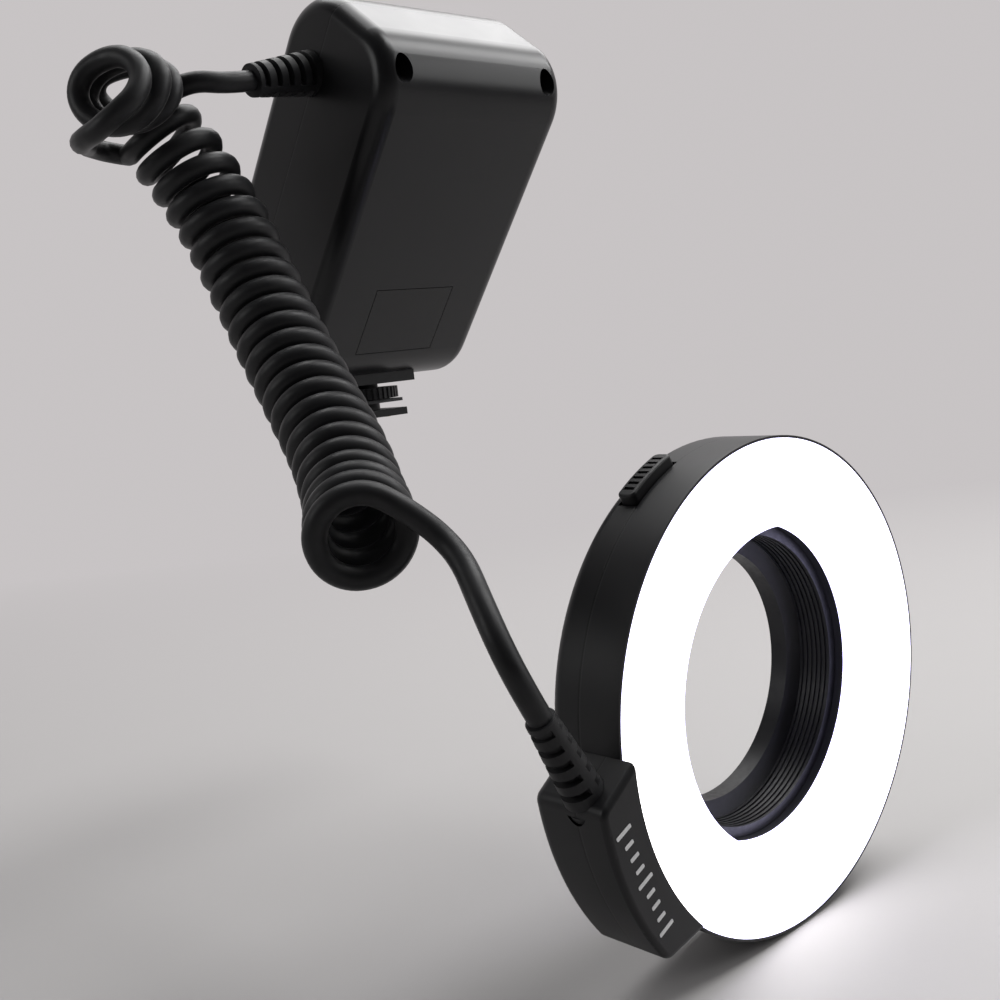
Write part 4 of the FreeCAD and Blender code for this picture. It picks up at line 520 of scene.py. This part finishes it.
def finish_for_slots():
    """One material for each slot of the record."""
    case = colours().case
    board = colours().board
    return {
        "adapter_black": anodised("Anodised black", (0.01, 0.01, 0.0105)),
        "battery_can": battery_wrap("Battery foil"),
        "bore_black": moulded("Matt bore black", (0.012, 0.012, 0.013), 0.6),
        "case_black": moulded("Head black", case, 0.42, seam=HEAD_SEAM),
        "circuit_board": circuit_board("Board green", board),
        "clamp_metal": metal("Blackened clamp", (0.06, 0.06, 0.062), 0.4),
        "contact_brass": metal("Brass contacts", (0.78, 0.56, 0.24), 0.25),
        "contact_steel": metal("Contact steel", (0.6, 0.6, 0.58), 0.3),
        "cord_black": rubber("Cord jacket", colours().cord, 0.46),
        "diffuser_white": lit_diffuser("Lit diffuser", colours().glow, colours().glow_strength),
        "display_grey": display_film("Display film", (0.34, 0.4, 0.34)),
        "foot_black": moulded("Foot black", shade(case, 0.95), 0.45),
        "gloss_black": moulded(
            "Controller black", case, 0.3, depth=0.008 * MM, seam=CASE_SEAM, seam_frame=CONTROLLER),
        "inner_black": moulded("Tray black", (0.03, 0.03, 0.03), 0.6),
        "key_amber": rubber("Amber key", (0.6, 0.22, 0.03), 0.5),
        "key_grey": rubber("Grey key", (0.12, 0.12, 0.13), 0.5),
        "latch_black": moulded("Latch black", shade(case, 0.9), 0.4),
        "led_chip": light_chip("Lamp chips"),
        "panel_black": moulded("Panel black", shade(case, 0.85), 0.26, depth=0.005 * MM),
        "pod_black": moulded("Pod black", case, 0.4, seam=POD_SEAM),
        "relief_rubber": rubber("Relief rubber", shade(colours().cord, 1.1), 0.5),
        "screw_steel": metal("Screw steel", (0.3, 0.3, 0.31), 0.35),
        "slider_grey": moulded("Slider grey", (0.1, 0.1, 0.11), 0.45),
        "switch_black": moulded("Switch black", (0.04, 0.04, 0.04), 0.5),
        "wheel_black": moulded("Wheel black", shade(case, 1.05), 0.42),
        "window_glass": clear_window("Clear window", (0.82, 0.86, 0.86)),
    }


def dress(thing, material):
    thing.data.materials.clear()
    thing.data.materials.append(material)


# Cord


def row_before(turn):
    """Index of the row from which the coil runs at a turn."""
    index = 0
    while index < len(RING_ROWS) - 2 and turn > RING_ROWS[index + 1][0]:
        index += 1
    return index


def row_slope(index, column):
    """Slope of a column at a row, from the rows beside it."""
    low = max(index - 1, 0)
    high = min(index + 1, len(RING_ROWS) - 1)
    rise = Vector(RING_ROWS[high][column]) - Vector(RING_ROWS[low][column])
    return rise / (RING_ROWS[high][0] - RING_ROWS[low][0])


def row_value(turn, column):
    """Smooth value of a column between the rows, carried on straight beyond them."""
    index = row_before(turn)
    start = RING_ROWS[index]
    end = RING_ROWS[index + 1]
    span = end[0] - start[0]
    t = (turn - start[0]) / span
    if t < 0.0 or t > 1.0:
        nearest, at = (start, index) if t < 0.0 else (end, index + 1)
        return Vector(nearest[column]) + row_slope(at, column) * (turn - nearest[0])
    a = Vector(start[column])
    b = Vector(end[column])
    out = row_slope(index, column) * span
    into = row_slope(index + 1, column) * span
    return (a * (2 * t ** 3 - 3 * t ** 2 + 1) + out * (t ** 3 - 2 * t ** 2 + t)
            + b * (3 * t ** 2 - 2 * t ** 3) + into * (t ** 3 - t ** 2))


def ring_radius(turn):
    index = row_before(turn)
    (start, _, _, radius), (end, _, _, next_radius) = RING_ROWS[index:index + 2]
    return radius + (next_radius - radius) * (turn - start) / (end - start)


def on_ring(turn):
    """Point of the coil at this turn."""
    axis = row_value(turn, 2).normalized()
    up = (RING_UP - axis * axis.dot(RING_UP)).normalized()
    side = axis.cross(up)
    angle = -2.0 * math.pi * turn
    return row_value(turn, 1) + (up * math.cos(angle) + side * math.sin(angle)) * ring_radius(turn)


def circle_heading(before, at, after):
    """Heading at the middle one of three points of a circle."""
    a = at - before
    b = after - at
    return (a * (b.length / a.length) + b * (a.length / b.length)).normalized()


def coil_points():
    """Points that the coil passes through: the fold, then the rings."""
    first = on_ring(FIRST_RING)
    stops = [Vector(p) for p in COIL_FOLD] + [first]
    course = [Vector(CONTROLLER_LEAD[-1])] + stops
    headings = [circle_heading(*course[i - 1:i + 2]) for i in range(1, len(course) - 1)]
    headings.append((on_ring(FIRST_RING + 0.01) - first).normalized())
    points = []
    for i, (start, end) in enumerate(zip(stops, stops[1:])):
        reach = FOLD_REACH * (end - start).length
        leg = interpolate_bezier(
            start, start + headings[i] * reach, end - headings[i + 1] * reach, end,
            POINTS_PER_TURN // 4 + 1)
        points += leg[:-1]
    count = round((LAST_RING - FIRST_RING) * POINTS_PER_TURN)
    for i in range(count + 1):
        points.append(on_ring(FIRST_RING + (LAST_RING - FIRST_RING) * i / count))
    return points


def pushed_out(points):
    """Control points whose spline runs through the given ones on round stretches."""
    moved = [points[0]]
    for before, at, after in zip(points, points[1:], points[2:]):
        moved.append(at + (at - (before + after) / 2.0) * OUTWARD)
    moved.append(points[-1])
    return moved


class RINGLIGHT_OT_cord(Operator):
    """Coiled cord from the controller to the pod, as one curve"""
    bl_idname = "ringlight.cord"
    bl_label = "Coiled cord"

    def execute(self, context):
        route = [Vector(p) for p in CONTROLLER_LEAD]
        route += pushed_out(coil_points())
        route += [Vector(p) for p in HEAD_LEAD]
        curve = bpy.data.curves.new("cord", "CURVE")
        curve.dimensions = "3D"
        spline = curve.splines.new("NURBS")
        spline.points.add(len(route) - 1)
        for point, place in zip(spline.points, route):
            point.co = (*(place * MM), 1.0)
        spline.order_u = 3
        spline.use_endpoint_u = True
        spline.resolution_u = 5
        curve.bevel_depth = sizes().cord_diameter / 2.0
        curve.bevel_resolution = 5
        curve.use_fill_caps = True
        piece = bpy.data.objects.new("cord", curve)
        context.scene.collection.objects.link(piece)
        curve.materials.append(MATERIALS["cord_black"])
        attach(piece, "light")
        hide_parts("coil_cord", "cord_controller_lead", "cord_head_lead")
        return {"FINISHED"}


class RINGLIGHT_OT_finishes(Operator):
    """Materials of all the solid parts"""
    bl_idname = "ringlight.finishes"
    bl_label = "Finishes"

    def execute(self, context):
        MATERIALS.update(finish_for_slots())
        MATERIALS["print"] = printed("Pale print", colours().marks)
        for name, thing in NODES.items():
            dress(thing, MATERIALS[SLOT_OF[name]])
        return {"FINISHED"}


# Marks on keys and pod


def plate(name, frame_matrix, width, height, thick):
    """Thin rounded plate, drawn across x and z of a frame, with its face towards +y."""
    clear_selection()
    bpy.ops.mesh.primitive_cube_add(size=1.0)
    piece = take_new(name)
    piece.scale = (width, thick, height)
    settle(piece)
    bpy.ops.object.mode_set(mode="EDIT")
    bpy.ops.mesh.select_all(action="DESELECT")
    bpy.ops.mesh.select_mode(type="EDGE")
    bpy.ops.object.mode_set(mode="OBJECT")
    for edge in piece.data.edges:
        a, b = (piece.data.vertices[i].co for i in edge.vertices)
        edge.select = abs(a.y - b.y) > thick * 0.5
    bpy.ops.object.mode_set(mode="EDIT")
    bpy.ops.mesh.bevel(offset=min(width, height) * 0.3, segments=3)
    bpy.ops.object.mode_set(mode="OBJECT")
    piece.data.transform(frame_matrix @ Matrix.Translation((0.0, thick / 2.0, 0.0)))
    return piece


# Body of each key, and the bars of its sign: x, z, width and height in millimetres.
KEY_MARKS = {
    "key_plus": ("plus_key", ((0.0, 0.0, 3.4, 0.8), (0.0, 0.0, 0.8, 3.4))),
    "key_minus": ("minus_key", ((0.0, 0.0, 3.4, 0.8),)),
    "key_mode": ("mode_key", ((0.0, 1.3, 3.4, 0.6), (0.0, 0.0, 3.4, 0.6), (0.0, -1.3, 3.4, 0.6))),
    "key_lamp": ("lamp_key", (
        (0.0, 0.0, 1.3, 1.3), (0.0, 2.0, 0.5, 0.9), (0.0, -2.0, 0.5, 0.9), (2.0, 0.0, 0.9, 0.5),
        (-2.0, 0.0, 0.9, 0.5))),
    "key_test": ("test_key", ((0.0, 0.0, 1.8, 1.8),)),
}


def key_face(key):
    """Middle of a key's outermost face, in the controller's own frame."""
    turned = CONTROLLER.inverted()
    points = [turned @ vertex.co for vertex in NODES[key].data.vertices]
    top = max(point.y for point in points)
    face = [point for point in points if point.y > top - 0.1 * MM]
    x, z = ((min(p[axis] for p in face) + max(p[axis] for p in face)) / 2.0 for axis in (0, 2))
    return Vector((x, top, z))


class RINGLIGHT_OT_key_marks(Operator):
    """Plain printed signs on the five keys"""
    bl_idname = "ringlight.key_marks"
    bl_label = "Key marks"

    def execute(self, context):
        for key, (body, bars) in KEY_MARKS.items():
            place = CONTROLLER @ Matrix.Translation(key_face(key))
            plates = []
            for x, z, width, height in bars:
                spot = place @ Matrix.Translation((x * MM, 0.0, z * MM))
                plates.append(plate(key + "_mark", spot, width * MM, height * MM, sizes().mark_height))
            piece = join(plates, key + "_mark")
            dress(piece, MATERIALS["print"])
            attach(piece, body)
        return {"FINISHED"}


# Ticks on the pod; every fourth one is long.
TICK_PITCH = 2.9 * MM
TICK_WIDTH = 0.8 * MM
TICK_HEIGHT = 2.4 * MM
LONG_TICK_HEIGHT = 4.2 * MM
LONG_TICK_EVERY = 4
TICKS_FROM_AXIS = 56.6 * MM


class RINGLIGHT_OT_pod_ticks(Operator):
    """Row of plain ticks on the front of the pod"""
    bl_idname = "ringlight.pod_ticks"
    bl_label = "Pod ticks"

    def execute(self, context):
        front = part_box("pod_front_cover")[0][1]
        plates = []
        count = sizes().tick_count
        for i in range(count):
            x = (i - (count - 1) / 2.0) * TICK_PITCH
            height = TICK_HEIGHT if i % LONG_TICK_EVERY else LONG_TICK_HEIGHT
            spot = (POD_TURN @ Matrix.Translation((x, front, TICKS_FROM_AXIS))
                    @ Matrix.Rotation(math.pi, 4, "Z"))
            plates.append(plate("pod_tick", spot, TICK_WIDTH, height, sizes().mark_height))
        piece = join(plates, "pod_ticks")
        dress(piece, MATERIALS["print"])
        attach(piece, "light")
        return {"FINISHED"}


# Screws


def upright_cylinder(name, radius, low, high, sides=32):
    """Cylinder round the y axis between two heights."""
    clear_selection()
    bpy.ops.mesh.primitive_cylinder_add(
        vertices=sides, radius=radius, depth=high - low, location=(0.0, (low + high) / 2.0, 0.0),
        rotation=(math.radians(-90.0), 0.0, 0.0))
    piece = take_new(name)
    settle(piece)
    return piece


def screw(name, place, head_r, head_h, shank_r, shank_len):
    """Screw with a cross recess; its head's top lies at y = 0 and faces +y."""
    head = upright_cylinder(name + "_head", head_r, -head_h, 0.0)
    for edge in head.data.edges:
        ends = [head.data.vertices[i].co for i in edge.vertices]
        edge.select = all(end.y > -0.01 * MM for end in ends)
    for face in head.data.polygons:
        face.select = False
    bpy.ops.object.mode_set(mode="EDIT")
    bpy.ops.mesh.select_mode(type="EDGE")
    bpy.ops.mesh.bevel(offset=head_h * 0.35, segments=4)
    bpy.ops.object.mode_set(mode="OBJECT")
    shank = upright_cylinder(name + "_shank", shank_r, -head_h - shank_len, -head_h * 0.5, 24)
    for turn in (0.0, 90.0):
        clear_selection()
        bpy.ops.mesh.primitive_cube_add(size=1.0)
        cutter = take_new(name + "_cross")
        cutter.scale = (head_r * 1.3, head_h * 1.1, head_r * 0.26)
        cutter.rotation_euler = (0.0, math.radians(turn), 0.0)
        settle(cutter)
        recess = head.modifiers.new("recess", "BOOLEAN")
        recess.operation = "DIFFERENCE"
        recess.solver = "EXACT"
        recess.object = cutter
        clear_selection()
        bpy.context.view_layer.objects.active = head
        bpy.ops.object.modifier_apply(modifier=recess.name)
        bpy.data.objects.remove(cutter)
    piece = join([head, shank], name)
    piece.data.transform(place)
    clear_selection()
    piece.select_set(True)
    bpy.context.view_layer.objects.active = piece
    bpy.ops.object.shade_smooth_by_angle(angle=math.radians(35.0))
    return piece


# Where the screws' head tops lie, and the measures that all screws share.
HEAD_SCREW_ANGLES = (72.0, 162.0, 252.0, 342.0)
POST_RING_R = 45.7 * MM
HEAD_REAR = -1.5 * MM
POD_SCREW_X = 9.0 * MM
POD_SCREW_FROM_AXIS = 56.4 * MM
POD_BACK = -5.0 * MM
CASE_SCREW_X = 23.0 * MM
CASE_SCREW_PLACE = (18.8 * MM, 40.0 * MM)
SHANK_R = 1.2 * MM
SCREW_HEAD_HEIGHT = 1.2 * MM


def head_screw_places():
    for turn in HEAD_SCREW_ANGLES:
        angle = math.radians(turn)
        yield Matrix.Translation((POST_RING_R * math.cos(angle), HEAD_REAR, POST_RING_R * math.sin(angle)))


def pod_screw_places():
    for x in (-POD_SCREW_X, POD_SCREW_X):
        yield POD_TURN @ Matrix.Translation((x, POD_BACK, POD_SCREW_FROM_AXIS))


def case_screw_places():
    for x in (-CASE_SCREW_X, CASE_SCREW_X):
        yield CONTROLLER @ Matrix.Translation((x, *CASE_SCREW_PLACE)) @ Matrix.Rotation(math.pi, 4, "Z")


class RINGLIGHT_OT_screws(Operator):
    """Cross-recessed screws of head, pod and controller"""
    bl_idname = "ringlight.screws"
    bl_label = "Screws"

    def execute(self, context):
        kinds = (
            ("head_screws", head_screw_places(), 2.0 * MM, 9.4 * MM),
            ("pod_screws", pod_screw_places(), 1.8 * MM, 13.4 * MM),
            ("case_screws", case_screw_places(), 2.0 * MM, 14.0 * MM),
        )
        for node, places, head_r, length in kinds:
            screws = [screw("%s_%d" % (node, i), place, head_r, SCREW_HEAD_HEIGHT, SHANK_R, length)
                      for i, place in enumerate(places)]
            piece = join(screws, "cross_" + node)
            dress(piece, MATERIALS["screw_steel"])
            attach(piece, "light")
            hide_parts(node)
        return {"FINISHED"}


# Stage


FLOOR_RADIUS = 6.0
FLOOR_GAP = 0.5 * MM
# Distances behind the object between which the floor fades into the wall's colour.
FLOOR_FADE = (0.1, 0.6)
# The room is pale where the camera looks and dim on its own side, so that black parts stay black.
ROOM_STRENGTHS = (0.08, 1.0)
ROOM_FADE = (0.0, 0.6)
AMBIENT_COLOUR = (0.9, 0.9, 0.95, 1.0)
AMBIENT_STRENGTH = 0.13


def behind(tree, place):
    """How far a place or a direction lies behind the object, as the camera looks."""
    project = tree.nodes.new("ShaderNodeVectorMath")
    project.operation = "DOT_PRODUCT"
    project.inputs[1].default_value = LOOKS_ALONG
    tree.links.new(place, project.inputs[0])
    return project.outputs["Value"]


class RINGLIGHT_OT_stage(Operator):
    """Pale floor, lamps and camera"""
    bl_idname = "ringlight.stage"
    bl_label = "Stage"

    def execute(self, context):
        stage = context.scene.ring_light_stage
        self.floor(stage)
        self.world(stage)
        self.lamps(stage)
        self.camera(stage)
        context.scene.view_settings.view_transform = "Standard"
        return {"FINISHED"}

    def floor(self, stage):
        clear_selection()
        ground = CAD_BOX[0][2] - FLOOR_GAP
        bpy.ops.mesh.primitive_circle_add(
            vertices=96, radius=FLOOR_RADIUS, fill_type="NGON", location=(0.0, 0.0, ground))
        piece = take_new("floor")
        settle(piece)
        material, tree, shader = fresh("Pale table")
        place = place_on_object(tree)
        far = spread(tree, behind(tree, place), 0.0, 1.0, *FLOOR_FADE)
        paper = spread(tree, cloud(tree, place, 30.0, 5.0), 0.97, 1.03)
        shader.inputs["Base Color"].default_value = (*stage.floor, 1.0)
        tree.links.new(calculate(tree, "MULTIPLY", paper, 0.6), shader.inputs["Roughness"])
        distance = tree.nodes.new("ShaderNodeEmission")
        distance.inputs["Color"].default_value = (*stage.wall, 1.0)
        mix = tree.nodes.new("ShaderNodeMixShader")
        tree.links.new(far, mix.inputs["Fac"])
        tree.links.new(shader.outputs["BSDF"], mix.inputs[1])
        tree.links.new(distance.outputs["Emission"], mix.inputs[2])
        tree.links.new(mix.outputs["Shader"], tree.nodes["Material Output"].inputs["Surface"])
        dress(piece, material)

    def world(self, stage):
        world = bpy.data.worlds.new("Room")
        bpy.context.scene.world = world
        world.use_nodes = True
        tree = world.node_tree
        ambient = tree.nodes["Background"]
        ambient.inputs["Color"].default_value = AMBIENT_COLOUR
        ambient.inputs["Strength"].default_value = AMBIENT_STRENGTH
        seen = tree.nodes.new("ShaderNodeBackground")
        seen.inputs["Color"].default_value = (*stage.wall, 1.0)
        way = tree.nodes.new("ShaderNodeTexCoord").outputs["Generated"]
        strength = spread(tree, behind(tree, way), *ROOM_STRENGTHS, *ROOM_FADE)
        tree.links.new(strength, seen.inputs["Strength"])
        path = tree.nodes.new("ShaderNodeLightPath")
        mix = tree.nodes.new("ShaderNodeMixShader")
        rays = calculate(tree, "MAXIMUM", path.outputs["Is Camera Ray"], path.outputs["Is Transmission Ray"])
        rays = calculate(tree, "MAXIMUM", rays, path.outputs["Is Glossy Ray"])
        tree.links.new(rays, mix.inputs["Fac"])
        tree.links.new(ambient.outputs["Background"], mix.inputs[1])
        tree.links.new(seen.outputs["Background"], mix.inputs[2])
        tree.links.new(mix.outputs["Shader"], tree.nodes["World Output"].inputs["Surface"])

    def lamps(self, stage):
        self.lamp("front_top_lamp", (0.6, -0.18, 0.8), (0.6, -0.18, 0.0), stage.key_power, 1.0, 0.3)
        self.lamp("rear_top_lamp", (0.5, 0.39, 0.8), (0.5, 0.39, 0.0), 0.6 * stage.key_power, 1.2, 0.44)
        self.lamp("front_lamp", (0.63, -0.56, 0.45), (0.0, 0.05, 0.15), stage.fill_power, 0.6, 0.5)
        self.lamp("side_lamp", (-0.75, 0.35, 0.35), (-0.05, 0.05, 0.05), stage.side_power, 0.4, 0.4)

    def lamp(self, name, place, target, radiance, width, depth):
        """Soft box whose power follows from its radiance and its area."""
        clear_selection()
        bpy.ops.object.light_add(type="AREA", location=place)
        lamp = bpy.context.object
        lamp.name = name
        lamp.data.shape = "RECTANGLE"
        lamp.data.size = width
        lamp.data.size_y = depth
        lamp.data.energy = radiance * math.pi * width * depth
        lamp.rotation_euler = (Vector(place) - Vector(target)).to_track_quat("Z", "Y").to_euler()

    def camera(self, stage):
        clear_selection()
        bpy.ops.object.camera_add()
        camera = bpy.context.object
        camera.name = "camera"
        axes = Matrix((CAMERA_RIGHT, CAMERA_UP, CAMERA_BACK)).transposed()
        camera.matrix_world = Matrix.Translation(CAMERA_PLACE) @ axes.to_4x4()
        camera.data.lens = stage.lens
        camera.data.sensor_width = SENSOR_WIDTH
        camera.data.clip_start = NEAREST_SEEN
        bpy.context.scene.camera = camera


class RINGLIGHT_PT_panel(Panel):
    """Sizes, colours and steps of the ring light"""
    bl_idname = "RINGLIGHT_PT_panel"
    bl_label = "Ring light"
    bl_space_type = "VIEW_3D"
    bl_region_type = "UI"
    bl_category = "Ring Light"

    def draw(self, context):
        layout = self.layout
        scene = context.scene
        for group in (scene.ring_light_sizes, scene.ring_light_colours, scene.ring_light_stage):
            column = layout.column(align=True)
            for name in group.__annotations__:
                column.prop(group, name)
        for operator in STEPS:
            layout.operator(operator.bl_idname)


STEPS = (
    RINGLIGHT_OT_finishes,
    RINGLIGHT_OT_cord,
    RINGLIGHT_OT_key_marks,
    RINGLIGHT_OT_pod_ticks,
    RINGLIGHT_OT_screws,
    RINGLIGHT_OT_stage,
)
GROUPS = (RingLightColours, RingLightSizes, RingLightStage)


def register():
    for group in GROUPS:
        bpy.utils.register_class(group)
    bpy.types.Scene.ring_light_colours = PointerProperty(type=RingLightColours)
    bpy.types.Scene.ring_light_sizes = PointerProperty(type=RingLightSizes)
    bpy.types.Scene.ring_light_stage = PointerProperty(type=RingLightStage)
    for operator in STEPS:
        bpy.utils.register_class(operator)
    bpy.utils.register_class(RINGLIGHT_PT_panel)


def unregister():
    bpy.utils.unregister_class(RINGLIGHT_PT_panel)
    for operator in reversed(STEPS):
        bpy.utils.unregister_class(operator)
    del bpy.types.Scene.ring_light_stage
    del bpy.types.Scene.ring_light_sizes
    del bpy.types.Scene.ring_light_colours
    for group in reversed(GROUPS):
        bpy.utils.unregister_class(group)


def main():
    register()
    bpy.ops.ringlight.finishes()
    bpy.ops.ringlight.cord()
    bpy.ops.ringlight.key_marks()
    bpy.ops.ringlight.pod_ticks()
    bpy.ops.ringlight.screws()
    bpy.ops.ringlight.stage()


if __name__ == "__main__":
    main()
